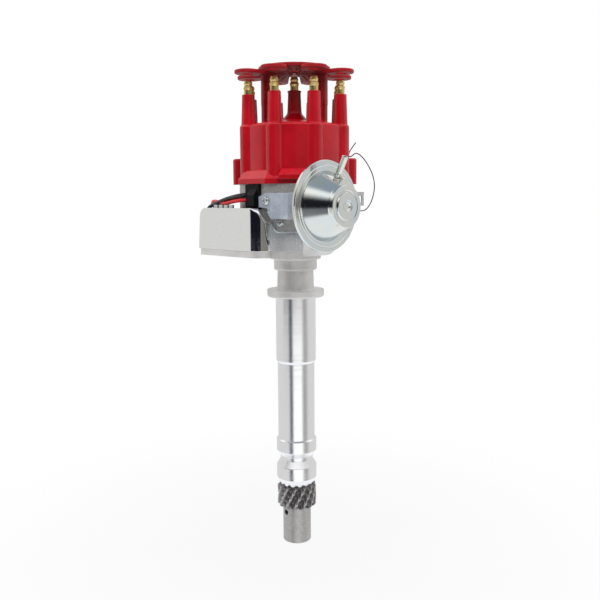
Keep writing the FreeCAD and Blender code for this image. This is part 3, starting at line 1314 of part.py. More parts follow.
def wire_anchor():
    """Hole in the bowl's wall that the spring wire starts in."""
    return bar(polar(BOWL_RADIUS - 1.5, CLIP_AZIMUTH, 67.0), polar(BOWL_RADIUS + 1, CLIP_AZIMUTH, 67.0),
               WIRE_RADIUS)


def spring_wire():
    """Thin stiff wire that arcs from the bowl up behind the cap's ear and turns back to a free end."""
    reach = [(BOWL_RADIUS - 1.5, 45, 67.0), (50.6, 45, 67.0), (55.4, 45, 67.4), (59.2, 45, 72.6),
             (61.6, 45, 79.6),
             (62.4, 45, 87.2), (61.0, 45, 94.6), (57.9, 45, 101.2), (53.4, 45, EAR_TOP + 0.5),
             (47.6, 45, EAR_TOP + 4.9), (43.6, 47, EAR_TOP + 0.9), (42.4, 52, EAR_TOP + 2.3),
             (43.0, 51, EAR_TOP + 5.9), (47.4, 45, EAR_TOP + 12.0)]
    return lead([tuple(polar(*step)) for step in reach], WIRE_RADIUS)


def write_parts():
    """Build every piece and write it out."""
    shaft_bushings = {
        "upper_bushing": (JOURNAL_TOP - UPPER_BUSHING_LENGTH, JOURNAL_TOP),
        "lower_bushing": (NOSE_BOTTOM, NOSE_BOTTOM + LOWER_BUSHING_LENGTH),
    }
    for name, (bottom, top) in shaft_bushings.items():
        save(name, bushing(bottom, top))
    fixed = (housing, plate_retaining_ring, module_cover, ignition_module, module_terminals, wire_grommet,
             lead_black_front, lead_black_back, lead_red, distributor_cap, centre_terminal, carbon_brush,
             brush_spring, wire_retainer, vacuum_bracket, can_front_shell, can_back_shell, diaphragm,
             diaphragm_plate, return_spring, vacuum_rod, vacuum_nipple, terminal_clip, spring_wire,
             pickup_plate, pickup_coil, magnet_ring, pole_piece, shaft, drive_gear, roll_pin, thrust_washer,
             shaft_clip)
    for piece in fixed:
        save(piece.__name__, piece())
    sets = {
        "cover_screws": cover_screw_set, "module_screws": module_screw_set,
        "bracket_screws": bracket_screw_set,
        "outer_terminals": outer_terminal_set, "cap_screws": cap_screw_set,
        "retainer_screws": retainer_screw_set,
        "pickup_screws": pickup_screw_set,
    }
    for name, make in sets.items():
        save(name, make())
    pivots = pivot_places()
    hooks = cam_pin_places()
    springs = [advance_spring(pivot, hook) for pivot, hook in zip(pivots, hooks)]
    turning = {
        "weight_plate": weight_plate(), "reluctor": reluctor(), "weight_pins": weight_pin_set(),
        "advance_springs": Part.makeCompound(springs), "centre_cam": centre_cam(), "rotor": rotor(),
        "rotor_contact": rotor_contact(), "rotor_screws": rotor_screw_set(),
        "weight_a": weight(), "weight_b": around(weight(), 180),
    }
    for name, shape in turning.items():
        save(name, around(shape, ADVANCE_FRAME))


os.makedirs("parts", exist_ok=True)
write_parts()
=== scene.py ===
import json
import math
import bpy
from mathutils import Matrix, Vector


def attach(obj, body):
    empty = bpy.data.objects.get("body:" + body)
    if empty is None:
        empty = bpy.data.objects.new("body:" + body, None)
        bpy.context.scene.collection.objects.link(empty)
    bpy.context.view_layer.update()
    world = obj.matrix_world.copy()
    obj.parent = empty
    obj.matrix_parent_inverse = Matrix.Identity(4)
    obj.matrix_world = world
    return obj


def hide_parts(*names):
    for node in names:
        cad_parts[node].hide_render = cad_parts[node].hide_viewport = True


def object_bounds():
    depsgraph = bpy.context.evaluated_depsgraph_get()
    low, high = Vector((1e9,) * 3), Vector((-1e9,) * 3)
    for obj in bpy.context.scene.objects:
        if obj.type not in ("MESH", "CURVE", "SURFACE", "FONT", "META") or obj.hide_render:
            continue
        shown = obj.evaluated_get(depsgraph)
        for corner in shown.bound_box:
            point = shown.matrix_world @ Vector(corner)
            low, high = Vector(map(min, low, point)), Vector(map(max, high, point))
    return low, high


bl_info = {
    "name": "Ignition distributor",
    "version": (1, 0, 0),
    "blender": (4, 5, 0),
    "location": "View3D > Sidebar > Distributor",
    "description": "Finishes an eight-cylinder ignition distributor round its packed CAD model",
    "category": "Object",
}

import bmesh
import bpy
from bpy.props import FloatProperty, FloatVectorProperty, PointerProperty
from mathutils import Matrix, Vector

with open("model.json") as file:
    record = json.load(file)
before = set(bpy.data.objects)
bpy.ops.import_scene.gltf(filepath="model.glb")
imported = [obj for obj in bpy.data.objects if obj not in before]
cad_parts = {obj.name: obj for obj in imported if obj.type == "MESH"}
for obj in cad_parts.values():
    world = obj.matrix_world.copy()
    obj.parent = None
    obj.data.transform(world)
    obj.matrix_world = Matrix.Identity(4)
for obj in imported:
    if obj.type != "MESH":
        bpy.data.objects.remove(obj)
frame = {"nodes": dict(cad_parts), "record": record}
NODES = frame["nodes"]
SLOTS = {part["node"]: part["material_slot"] for part in frame["record"]["subparts"]}
CAD_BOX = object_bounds()
MM = 0.001
WELD_REACH = 0.000005


# Sizes and colours that a user would change

def colour(name, description, value):
    """A colour property."""
    return FloatVectorProperty(name=name, description=description, subtype="COLOR", size=3, min=0, max=1,
                               default=value)


def length(name, description, value):
    """A length property, in metres."""
    return FloatProperty(name=name, description=description, unit="LENGTH", default=value, min=0.0)


class DistributorColours(bpy.types.PropertyGroup):
    """Base colours of the finishes."""
    red: colour("Red plastic", "Moulded cap and wire retainer", (0.56, 0.004, 0.014))
    deep_red: colour("Deep red", "Shaded tone of the moulded plastic", (0.46, 0.002, 0.010))
    cast: colour("Cast aluminium", "As-cast skin of the bowl and base", (0.90, 0.885, 0.86))
    turned: colour("Turned aluminium", "Bright turned shank", (0.90, 0.90, 0.91))
    chrome: colour("Chrome", "Plated module cover", (0.86, 0.86, 0.85))
    zinc: colour("Zinc plate", "Canister, bracket and screws", (0.66, 0.71, 0.73))
    zinc_warm: colour("Warm zinc", "Yellowish tint in the zinc plate", (0.74, 0.74, 0.66))
    brass: colour("Brass", "Plug and coil terminals", (0.80, 0.60, 0.24))
    iron: colour("Gear iron", "Flanks of the drive gear", (0.20, 0.19, 0.19))
    lead_red: colour("Red lead", "Insulation of the red lead", (0.70, 0.004, 0.018))


class DistributorSizes(bpy.types.PropertyGroup):
    """Sizes of what the script makes."""
    lead_diameter: length("Lead diameter", "Outer diameter of the three leads", 0.0028)
    wire_diameter: length("Spring wire diameter", "Thickness of the thin dark wire", 0.0008)
    camera_lens: FloatProperty(name="Lens", description="Focal length on a 36 mm sensor", default=45.47,
                               min=10)


# Shader nodes

class Value:
    """A number, colour or vector on a node's socket. Python's operators add the Math nodes."""

    def __init__(self, shader, socket):
        self.shader = shader
        self.socket = socket

    def __add__(self, other):
        return self.shader.maths("ADD", self, other)

    def __radd__(self, other):
        return self.shader.maths("ADD", other, self)

    def __sub__(self, other):
        return self.shader.maths("SUBTRACT", self, other)

    def __rsub__(self, other):
        return self.shader.maths("SUBTRACT", other, self)

    def __mul__(self, other):
        return self.shader.maths("MULTIPLY", self, other)

    def __rmul__(self, other):
        return self.shader.maths("MULTIPLY", other, self)

    def __truediv__(self, other):
        return self.shader.maths("DIVIDE", self, other)

    def __rtruediv__(self, other):
        return self.shader.maths("DIVIDE", other, self)

    def __pow__(self, other):
        return self.shader.maths("POWER", self, other)

    def __rpow__(self, other):
        return self.shader.maths("POWER", other, self)

    def smooth(self, start, end):
        """0 at the start and 1 at the end, with a smooth step between. The end may be the smaller number."""
        ends = (start, end, 0.0, 1.0) if start < end else (end, start, 1.0, 0.0)
        limits = dict(zip(("From Min", "From Max", "To Min", "To Max"), ends))
        return self.shader.node("ShaderNodeMapRange", {"interpolation_type": "SMOOTHSTEP"},
                                {"Value": self, **limits}, "Result")


class Shader:
    """The node tree of one material or of the world."""

    def __init__(self, tree):
        self.tree = tree
        tree.nodes.clear()

    def node(self, kind, settings=None, inputs=None, out=0):
        """Adds a node, sets its options first, then its sockets' values or links."""
        made = self.tree.nodes.new(kind)
        for name, value in (settings or {}).items():
            setattr(made, name, value)
        for name, value in (inputs or {}).items():
            if isinstance(value, Value):
                self.tree.links.new(value.socket, made.inputs[name])
            else:
                made.inputs[name].default_value = value
        return Value(self, made.outputs[out]) if made.outputs else None

    def maths(self, operation, *values):
        """A Math node on numbers and values."""
        return self.node("ShaderNodeMath", {"operation": operation}, dict(enumerate(values)))

    def place(self):
        """Object coordinates, in metres."""
        return self.node("ShaderNodeTexCoord", out="Object")

    def axis(self, vector, letter):
        """X, Y or Z of a vector."""
        return self.node("ShaderNodeSeparateXYZ", None, {0: vector}, letter)

    def reach(self, place):
        """Distance from the shaft's axis."""
        x, y = self.axis(place, "X"), self.axis(place, "Y")
        return (x * x + y * y) ** 0.5

    def scaled(self, vector, scale):
        """A vector stretched along its axes."""
        return self.node("ShaderNodeMapping", None, {"Vector": vector, "Scale": scale})

    def noise(self, vector, scale, detail=3.0, roughness=0.5):
        """Noise from 0 to 1."""
        sockets = {"Vector": vector, "Scale": scale, "Detail": detail, "Roughness": roughness}
        return self.node("ShaderNodeTexNoise", None, sockets)

    def cells(self, vector, scale):
        """Distance to the nearest of scattered points."""
        return self.node("ShaderNodeTexVoronoi", None, {"Vector": vector, "Scale": scale})

    def mix(self, factor, first, second):
        """Colour between two."""
        first, second = [tuple(c) + (1.0,) if not isinstance(c, Value) and len(c) == 3 else c
                         for c in (first, second)]
        return self.node("ShaderNodeMix", {"data_type": "RGBA"}, {0: factor, 6: first, 7: second}, 2)

    def bump(self, height, distance, strength=1.0, normal=None):
        """Normal from a height in 0 to 1, over a distance in metres."""
        sockets = {"Height": height, "Distance": distance, "Strength": strength}
        if normal:
            sockets["Normal"] = normal
        return self.node("ShaderNodeBump", None, sockets)

    def rounded(self, radius):
        """Normal that rounds off hard edges."""
        return self.node("ShaderNodeBevel", {"samples": 6}, {"Radius": radius})


class Form(Shader):
    """A Geometry Nodes tree with named inputs."""

    def __init__(self, name, sizes):
        super().__init__(bpy.data.node_groups.new(name, "GeometryNodeTree"))
        for size, kind in sizes.items():
            self.tree.interface.new_socket(size, in_out="INPUT", socket_type=f"NodeSocket{kind}")
        self.tree.interface.new_socket("Geometry", in_out="OUTPUT", socket_type="NodeSocketGeometry")

    def size(self, name):
        """One of the tree's inputs."""
        return self.node("NodeGroupInput", out=name)

    def close(self, geometry):
        """Ends the tree in real, welded and dressed geometry."""
        real = self.node("GeometryNodeRealizeInstances", None, {"Geometry": geometry})
        welded = self.node("GeometryNodeMergeByDistance", None, {"Geometry": real, "Distance": WELD_REACH})
        dressed = self.node("GeometryNodeSetMaterial", None,
                            {"Geometry": welded, "Material": self.size("Finish")})
        self.node("NodeGroupOutput", None, {"Geometry": dressed})


def finish(name, make):
    """A material whose surface sockets come from make(shader)."""
    material = bpy.data.materials.new(name)
    material.use_nodes = True
    shader = Shader(material.node_tree)
    surface = make(shader)
    if isinstance(surface, dict):
        surface = shader.node("ShaderNodeBsdfPrincipled", None, surface)
    shader.node("ShaderNodeOutputMaterial", None, {"Surface": surface})
    return material


# Where a finish, a painted shade or a painted reflection changes, from and to, in metres: in height, across
# the wing or in reach from the axis

# Painted shade on the legs and centre tower: inside this reach from the axis and above the cap's roof
SHADE_INNER_REACH = (0.0345, 0.0335)
SHADE_ROOF_HEIGHT = (0.1365, 0.1375)
# The retainer: rougher, and darkened by painted shade
RETAINER_HEIGHT = (0.1655, 0.1665)
# Painted shade on the bowl, above the base
BOWL_SHADE_HEIGHT = (0.048, 0.058)
TURNED_HEIGHT = (0.0006, 0.0001)
# The cover's wing beside the canister, and the height over which its painted reflection turns from pale to
# grey-blue
WING_SIDE = (0.0168, 0.0176)
WING_REFLECTION_HEIGHT = (0.044, 0.052)
LAND_REACH = (0.0150, 0.0156)
HUB_HEIGHT = (-0.1725, -0.1732)


def moulded(base, deep, roughness=0.23, grain=0.000004):
    """Moulded plastic: faint flow clouds and a fine skin, with painted shade that darkens the legs and centre
    tower above the cap's roof and, more faintly, the retainer, which is also duller.
    """
    def make(shader):
        place = shader.place()
        height = shader.axis(place, "Z")
        inner = shader.reach(place).smooth(*SHADE_INNER_REACH) * height.smooth(*SHADE_ROOF_HEIGHT)
        retainer = height.smooth(*RETAINER_HEIGHT)
        # Painted shade: the legs and centre tower fully, and the retainer at 0.6, are mixed towards a dark
        # red
        painted_shade = shader.maths("MAXIMUM", inner, retainer * 0.6)
        cloud = shader.noise(place, 45, 4)
        skin = shader.noise(place, 1500, 2)
        worn = shader.noise(place, 220, 5, 0.7)
        return {
            "Base Color": shader.mix(painted_shade * 0.6, shader.mix(cloud.smooth(0.35, 0.7), deep, base),
                                     tuple(c * 0.35 for c in deep)),
            "Roughness": roughness + (worn - 0.5) * 0.08 + retainer * 0.3,
            "Normal": shader.bump(skin, grain, 0.6, shader.rounded(0.0004)),
            "Specular IOR Level": 0.5,
        }
    return make


def cast_and_turned(cast, turned):
    """Aluminium housing: grainy as cast, with painted shade on the bowl above the base, bright and finely
    ringed where it was turned.
    """
    def make(shader):
        place = shader.place()
        height = shader.axis(place, "Z")
        bright = height.smooth(*TURNED_HEIGHT)
        grain = shader.noise(place, 1100, 4, 0.65)
        pits = shader.cells(place, 700)
        cloud = shader.noise(place, 70, 3)
        rings = shader.noise(shader.scaled(place, (0.0, 0.0, 1.0)), 5200, 3, 0.7)
        skin = (grain * 0.7 + pits * 0.5) * (1 - bright)
        cast_tone_and_shade = shader.mix(cloud.smooth(0.3, 0.75), tuple(c * 0.86 for c in cast), cast)
        # Painted shade: the bowl above the base is darkened in grainy patches
        bowl = height.smooth(*BOWL_SHADE_HEIGHT) * grain.smooth(0.2, 0.6)
        cast_tone_and_shade = shader.mix(bowl * 0.75, cast_tone_and_shade, tuple(c * 0.36 for c in cast))
        ring_tone = shader.mix(rings.smooth(0.35, 0.65), tuple(c * 0.93 for c in turned), turned)
        skin_bump = shader.bump(skin, 0.00022, 0.8, shader.rounded(0.0004))
        return {
            "Base Color": shader.mix(bright, cast_tone_and_shade, ring_tone),
            "Metallic": 0.55 + bright * 0.45,
            "Roughness": 0.46 - bright * 0.30 + (grain - 0.5) * 0.12,
            "Normal": shader.bump(rings * bright, 0.00005, 0.9, skin_bump),
        }
    return make


def chromed(tone, wing_reflection_tone=(0.62, 0.66, 0.68)):
    """Bright chrome plate with faint dust; the low wing beside the canister is rougher and less metallic,
    with a painted reflection, pale low down and grey-blue higher up.
    """
    def make(shader):
        place = shader.place()
        wing = shader.axis(place, "X").smooth(*WING_SIDE)
        wing_reflection = shader.mix(shader.axis(place, "Z").smooth(*WING_REFLECTION_HEIGHT), (0.86, 0.87, 0.87), wing_reflection_tone)
        dust = shader.noise(place, 900, 4, 0.75)
        ripple = shader.noise(place, 90, 2)
        smear = shader.noise(place, 35, 4)
        dusty = shader.mix(dust.smooth(0.5, 0.8), tone, tuple(c * 0.86 for c in tone))
        return {
            # Painted reflection: the wing's colour, pale low down and grey-blue higher up
            "Base Color": shader.mix(wing, dusty, wing_reflection),
            "Metallic": 1.0 - wing * 0.45,
            "Roughness": 0.05 + smear.smooth(0.4, 0.8) * 0.06 + dust.smooth(0.55, 0.75) * 0.1 + wing * 0.2,
            "Normal": shader.bump(ripple, 0.00012, 0.35, shader.rounded(0.0004)),
        }
    return make


def zinc_plated(cool, warm, roughness=0.17, patch=38, metal=1.0):
    """Zinc plate on pressed steel, with its patchy blue and yellow tint."""
    def make(shader):
        place = shader.place()
        tint = shader.noise(place, patch, 4, 0.6)
        grain = shader.noise(place, 800, 4, 0.7)
        drawn = shader.noise(shader.scaled(place, (1.0, 5.0, 5.0)), 120, 3)
        return {
            "Base Color": shader.mix(tint.smooth(0.35, 0.7), cool, warm),
            "Metallic": metal,
            "Roughness": roughness + (grain - 0.5) * 0.04 + (drawn - 0.5) * 0.08,
            "Normal": shader.bump(grain, 0.000002, 0.2, shader.rounded(0.0003)),
        }
    return make


def plain_metal(tone, roughness, scratch=0.1):
    """Machined metal with fine marks."""
    def make(shader):
        place = shader.place()
        marks = shader.noise(shader.scaled(place, (1.0, 1.0, 4.0)), 900, 4, 0.7)
        cloud = shader.noise(place, 90, 3)
        return {
            "Base Color": shader.mix(cloud.smooth(0.3, 0.7), tuple(c * 0.8 for c in tone), tone),
            "Metallic": 1.0,
            "Roughness": roughness + (marks - 0.5) * scratch * 2,
            "Normal": shader.bump(marks, 0.00003, 0.5, shader.rounded(0.0002)),
        }
    return make


def gear_iron(flank):
    """Machined iron: dark flanks, lands and hub worn bright."""
    def make(shader):
        place = shader.place()
        land = shader.reach(place).smooth(*LAND_REACH)
        hub = shader.axis(place, "Z").smooth(*HUB_HEIGHT)
        grain = shader.noise(place, 900, 5, 0.75)
        speck = shader.noise(place, 420, 4, 0.8)
        dark = shader.mix(grain, flank, tuple(c * 1.4 for c in flank))
        bright = shader.mix(speck.smooth(0.35, 0.8), (0.46, 0.45, 0.44), (0.62, 0.61, 0.59))
        return {
            "Base Color": shader.mix(shader.maths("MAXIMUM", land, hub), dark, bright),
            "Metallic": 0.9,
            "Roughness": 0.44 + (grain - 0.5) * 0.2,
            "Normal": shader.bump(grain, 0.00003, 0.6, shader.rounded(0.00015)),
        }
    return make


def rubber(tone, roughness=0.62):
    """Moulded rubber or dull plastic."""
    def make(shader):
        place = shader.place()
        grain = shader.noise(place, 1300, 3, 0.6)
        bloom = shader.noise(place, 120, 4)
        return {
            "Base Color": shader.mix(bloom.smooth(0.45, 0.85), tone, tuple(c * 1.6 + 0.002 for c in tone)),
            "Roughness": roughness + (bloom - 0.5) * 0.2,
            "Specular IOR Level": 0.12,
            "Normal": shader.bump(grain, 0.00005, 0.6, shader.rounded(0.0004)),
        }
    return make


def insulation(tone):
    """Glossy lead insulation with slight waves from the drawing."""
    def make(shader):
        place = shader.place()
        wave = shader.noise(place, 260, 2)
        dust = shader.noise(place, 1600, 3, 0.7)
        dusty = tuple(min(1.0, c * 1.2 + 0.02) for c in tone)
        return {
            "Base Color": shader.mix(dust.smooth(0.5, 0.9), tone, dusty),
            "Roughness": 0.24 + dust.smooth(0.4, 0.8) * 0.15,
            "Coat Weight": 0.2,
            "Normal": shader.bump(wave, 0.0002, 0.35),
        }
    return make


def brass(tone):
    """Turned brass with ring marks."""
    def make(shader):
        place = shader.place()
        rings = shader.noise(shader.scaled(place, (0.0, 0.0, 1.0)), 3600, 3, 0.7)
        tarnish = shader.noise(place, 320, 4, 0.6)
        return {
            "Base Color": shader.mix(tarnish.smooth(0.4, 0.8), tone, tuple(c * 0.72 for c in tone)),
            "Metallic": 1.0,
            "Roughness": 0.33 + tarnish.smooth(0.4, 0.8) * 0.14,
            "Normal": shader.bump(rings, 0.00003, 0.6),
        }
    return make


def finishes(colours):
    """Every finish by the record's slot name."""
    return {
        "red_plastic": moulded(tuple(colours.red), tuple(colours.deep_red)),
        "cast_aluminium": cast_and_turned(tuple(colours.cast), tuple(colours.turned)),
        "chrome_plate": chromed(tuple(colours.chrome)),
        "zinc_steel": zinc_plated(colours.zinc, colours.zinc_warm),
        "screw_steel": zinc_plated(colours.zinc, colours.zinc_warm, 0.24),
        "bracket_zinc": zinc_plated((0.40, 0.45, 0.54), (0.66, 0.70, 0.75), 0.36, 75, 0.5),
        "terminal_brass": brass(tuple(colours.brass)),
        "gear_iron": gear_iron(tuple(colours.iron)),
        "bearing_bronze": plain_metal((0.62, 0.45, 0.26), 0.4),
        "shaft_steel": plain_metal((0.55, 0.55, 0.56), 0.25),
        "spring_steel": plain_metal((0.10, 0.10, 0.10), 0.4),
        "tinned_blade": plain_metal((0.74, 0.74, 0.73), 0.28),
        "magnet_ferrite": rubber((0.10, 0.10, 0.11), 0.55),
        "black_plastic": rubber((0.008, 0.008, 0.009), 0.3),
        "black_rubber": rubber((0.006, 0.006, 0.007), 0.35),
        "diaphragm_rubber": rubber((0.05, 0.05, 0.05), 0.7),
        "carbon": rubber((0.04, 0.04, 0.045), 0.5),
        "grey_plastic": moulded((0.66, 0.65, 0.65), (0.55, 0.54, 0.54), 0.45),
        "black_insulation": insulation((0.012, 0.012, 0.014)),
        "red_insulation": insulation(tuple(colours.lead_red)),
    }


def material(slot):
    """The finish of one slot, made once."""
    found = bpy.data.materials.get(f"finish_{slot}")
    if found is None:
        found = finish(f"finish_{slot}", finishes(bpy.context.scene.distributor_colours)[slot])
    return found


def dress(obj, slot):
    """Gives an object one finish."""
    obj.data.materials.clear()
    obj.data.materials.append(material(slot))


# Pieces

def polar(radius, azimuth, height):
    """Point about the shaft axis from millimetres and degrees, in metres."""
    angle = math.radians(azimuth)
    return Vector((radius * math.cos(angle), radius * math.sin(angle), height)) * MM


def tube(name, points, diameter, slot, body, replaced):
    """Round wire along one smooth NURBS line."""
    data = bpy.data.curves.new(name, "CURVE")
    data.dimensions = "3D"
    data.resolution_u = 12
    data.bevel_depth = diameter / 2
    data.bevel_resolution = 5
    data.use_fill_caps = True
    spline = data.splines.new("NURBS")
    spline.points.add(len(points) - 1)
    for target, point in zip(spline.points, points):
        target.co = (*point, 1.0)
    spline.order_u = 3
    spline.use_endpoint_u = True
    obj = bpy.data.objects.new(name, data)
    bpy.context.scene.collection.objects.link(obj)
    data.materials.append(material(slot))
    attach(obj, body)
    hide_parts(replaced)
    return obj


# Each lead: its slot, its measured length in metres, and given points in millimetres from the grommet
# to the module

LEADS = {
    "lead_black_front": ("black_insulation", 0.0533, (
        (-5.2, -45.0, 80.0), (-5.2, -48.8, 80.0), (-11.0, -49.4, 79.4), (-18.7, -49.2, 78.2),
        (-27.6, -49.0, 76.5), (-37.4, -48.8, 73.8), (-46.4, -48.4, 71.2), (-49.7, -47.2, 68.2),
        (-49.7, -47.2, 64.0))),
    "lead_black_back": ("black_insulation", 0.0473, (
        (-5.2, -45.0, 77.6), (-5.2, -47.6, 77.6), (-12.4, -46.6, 77.9), (-20.6, -46.2, 77.0),
        (-30.1, -46.2, 75.0), (-39.6, -46.0, 71.8), (-45.8, -44.9, 68.6), (-45.8, -44.9, 64.0))),
    "lead_red": ("red_insulation", 0.0586, (
        (-5.2, -45.0, 75.9), (-5.2, -48.6, 75.9), (-11.4, -49.6, 75.6), (-18.4, -50.0, 74.6),
        (-25.4, -49.6, 73.4), (-33.4, -47.6, 73.9), (-40.6, -46.4, 75.4), (-46.8, -45.0, 75.0),
        (-48.6, -42.8, 71.8), (-45.4, -39.4, 68.4), (-44.4, -38.4, 64.0))),
}

# The spring wire's points: radius in millimetres, azimuth in degrees and height in millimetres

SPRING_WIRE = (
    (41.6, 45, 67.0), (50.6, 45, 67.0), (55.4, 45, 67.4), (59.2, 45, 72.6), (61.6, 45, 79.6),
    (62.4, 45, 87.2), (61.0, 45, 94.6), (57.9, 45, 101.2), (53.4, 45, 108.2), (47.6, 45, 112.6),
    (43.6, 47, 108.6), (42.4, 52, 110.0), (43.0, 51, 113.6), (47.4, 45, 119.7))


def piece(name, corners, faces):
    """An object from corners in metres and faces."""
    mesh = bpy.data.meshes.new(name)
    mesh.from_pydata(corners, [], faces)
    shell = bmesh.new()
    shell.from_mesh(mesh)
    bmesh.ops.recalc_face_normals(shell, faces=shell.faces)
    shell.to_mesh(mesh)
    shell.free()
    obj = bpy.data.objects.new(name, mesh)
    bpy.context.scene.collection.objects.link(obj)
    return obj


def grid_faces(rows, columns, rows_close, columns_close):
    """Quads between the neighbours in a grid of corners, which is given row by row."""
    faces = []
    for row in range(rows if rows_close else rows - 1):
        first, second = row * columns, (row + 1) % rows * columns
        for column in range(columns if columns_close else columns - 1):
            beside = (column + 1) % columns
            faces.append((first + column, first + beside, second + beside, second + column))
    return faces


def swept(name, sections):
    """A closed shell through sections of equal length, with flat ends."""
    width = len(sections[0])
    corners = [corner for section in sections for corner in section]
    faces = grid_faces(len(sections), width, False, True)
    faces += [tuple(range(width)), tuple(range(len(corners) - width, len(corners)))]
    return piece(name, corners, faces)


def slab(name, outline, bottom, top):
    """A flat plate from its plan and two heights, in millimetres."""
    count = len(outline)
    corners = [Vector((*place, height)) * MM for height in (bottom, top) for place in outline]
    faces = [tuple(range(count)), tuple(range(count, 2 * count)), *grid_faces(2, count, False, True)]
    return piece(name, corners, faces)


def arc(centre, radius, turns):
    """Places on a circle in plan, each with the direction that it faces, in degrees."""
    stops = []
    for turn in turns:
        angle = math.radians(turn)
        stops.append(((centre[0] + radius * math.cos(angle), centre[1] + radius * math.sin(angle)), turn))
    return stops


def step(value, low, high):
    """Smooth step from 0 to 1 between two limits."""
    share = min(max((value - low) / (high - low), 0.0), 1.0)
    return share * share * (3 - 2 * share)


def shaped(obj, tree, sizes, body, slot):
    """Runs a node tree on an object, and leaves the result as a plain mesh on its body."""
    modifier = obj.modifiers.new("shape", "NODES")
    modifier.node_group = tree
    sockets = {item.name: item.identifier for item in tree.interface.items_tree if item.in_out == "INPUT"}
    for name, value in {**sizes, "Finish": material(slot)}.items():
        modifier[sockets[name]] = value
    evaluated = obj.evaluated_get(bpy.context.evaluated_depsgraph_get())
    plain = bpy.data.meshes.new_from_object(evaluated)
    obj.modifiers.clear()
    obj.data = plain
    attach(obj, body)
    return obj


def ring_tree():
    """Copies of a piece, evenly round the shaft axis."""
    kinds = {"Geometry": "Geometry", "Count": "Int", "First angle": "Float", "Finish": "Material"}
    form = Form("ring_of_pieces", kinds)
    index = form.node("GeometryNodeInputIndex")
    turn = index * (math.tau / form.size("Count")) + form.size("First angle")
    euler = form.node("ShaderNodeCombineXYZ", None, {"Z": turn})
    points = form.node("GeometryNodePoints", None, {"Count": form.size("Count")})
    copies = form.node("GeometryNodeInstanceOnPoints", None, {
        "Points": points, "Instance": form.size("Geometry"),
        "Rotation": form.node("FunctionNodeEulerToRotation", None, {"Euler": euler})})
    form.close(copies)
    return form.tree


def node_box(name):
    """Lowest and highest corner of a CAD node."""
    corners = [NODES[name].matrix_world @ vertex.co for vertex in NODES[name].data.vertices]
    return [Vector(side(corner[axis] for corner in corners) for axis in range(3)) for side in (min, max)]


# The retainer's web, in millimetres and degrees

WEB_REACH = 27.6
WEB_HOLE = 5.9
WEB_THICKNESS = 2.8
WEB_EDGE = 0.5
WEB_DROP = 0.5
WEB_RIB_DEPTH = 1.3
WEB_RIB_HALF = 0.34
WEB_RIB_SPREAD = 9.5
WEB_RIB_START = 2.5
WEB_RIB_END = 1.2
WEB_RIB_LIP = 0.4
CYLINDERS = 8
FIRST_TOWER = 22.5


def web_columns():
    """Across one sector: azimuth, offset to the side and share of a rib's depth."""
    half = 180 / CYLINDERS
    rib = [(-2 * WEB_RIB_HALF, 0), (-WEB_RIB_HALF, 1), (WEB_RIB_HALF, 1), (2 * WEB_RIB_HALF, 0)]
    ribs = [[(spread, side, share) for side, share in rib] for spread in (-WEB_RIB_SPREAD, WEB_RIB_SPREAD)]
    return [(-half, 0, 0), *ribs[0], (0, 0, 0), *ribs[1], (half, 0, 0)]


def web_rows(top, low):
    """Round the web's section: radius, height and share of a rib's depth."""
    return [(WEB_HOLE, top - WEB_EDGE, 0), (WEB_HOLE, low + WEB_EDGE, 0), (WEB_HOLE + WEB_EDGE, low, 0),
            (WEB_HOLE + WEB_RIB_START, low, 1), (WEB_REACH - WEB_RIB_END, low, 1),
            (WEB_REACH - WEB_EDGE, low, WEB_RIB_LIP), (WEB_REACH, low + WEB_EDGE, 0),
            (WEB_REACH, top - WEB_EDGE, 0), (WEB_REACH - WEB_EDGE, top, 0), (WEB_HOLE + WEB_EDGE, top, 0)]


class DISTRIBUTOR_OT_retainer_web(bpy.types.Operator):
    """Fill the wire retainer between its arms with the ribbed plate"""
    bl_idname = "distributor.retainer_web"
    bl_label = "Retainer web"

    def execute(self, context):
        top = node_box("wire_retainer")[1].z / MM - WEB_DROP
        rows = web_rows(top, top - WEB_THICKNESS)
        columns = web_columns()
        corners = [polar(radius, azimuth + math.degrees(side / radius), height - WEB_RIB_DEPTH * rib * depth)
                   for radius, height, depth in rows for azimuth, side, rib in columns]
        sector = piece("retainer_web", corners, grid_faces(len(rows), len(columns), True, False))
        sizes = {"Count": CYLINDERS, "First angle": math.radians(FIRST_TOWER)}
        shaped(sector, ring_tree(), sizes, "body", "red_plastic")
        return {"FINISHED"}


# The module cover and the base's wing, in millimetres and degrees

COVER_LEFT = -56.99
COVER_BACK = -21.6
COVER_FRONT = -53.6
COVER_BOTTOM = 38.7
COVER_TOP = 70.2
COVER_LOW_TOP = 53.8
COVER_SHEET = 1.8
COVER_FLOOR = 1.0
COVER_DRAFT = 2.4
COVER_END_CORNER = 6.0
LEFT_CORNER = 4.4
LEFT_TURNS = range(190, 271, 10)
NOSE_X = 5.6
NOSE_RADIUS = 11.7
NOSE_TURNS = range(270, 361, 3)
WING_RADIUS = 46.0
WING_END = 36.4
BASE_BOTTOM = 33.6
FOOT_RADIUS = 31.0
FRONT_STOPS = (-46.0, -36.0, -20.0, -4.0)
WING_GAP = 0.6
WING_STOPS = 16
WING_SWEEP = (11.5, 22.5)
NOSE_SWELL = (6.0, 13.0)
ROLL_EDGE = 0.7
ROLL_NOSE = 4.6
ROLL_WING = 1.6
ROLL_DEPTH = 2.6
ROLL_STEPS = 6
WALL_SHARES = (0, 0.4, 0.7, 0.82, 0.9, 0.96, 1)
LIP_STEP = 0.1
LIP_DROP = 0.6
SHOULDER_DROP = 1.0
LEAN_START = 8
LEAN_END = 22
FLOOR_INSET = 1.0
FLOOR_END = -136
WING_INSET = 0.991
WING_FOOT_END = -70
FOOT_STOPS = 24
COVER_CREASE = 32


def wing_end():
    """Azimuth at which the wing ends."""
    return -math.degrees(math.acos(WING_END / WING_RADIUS))


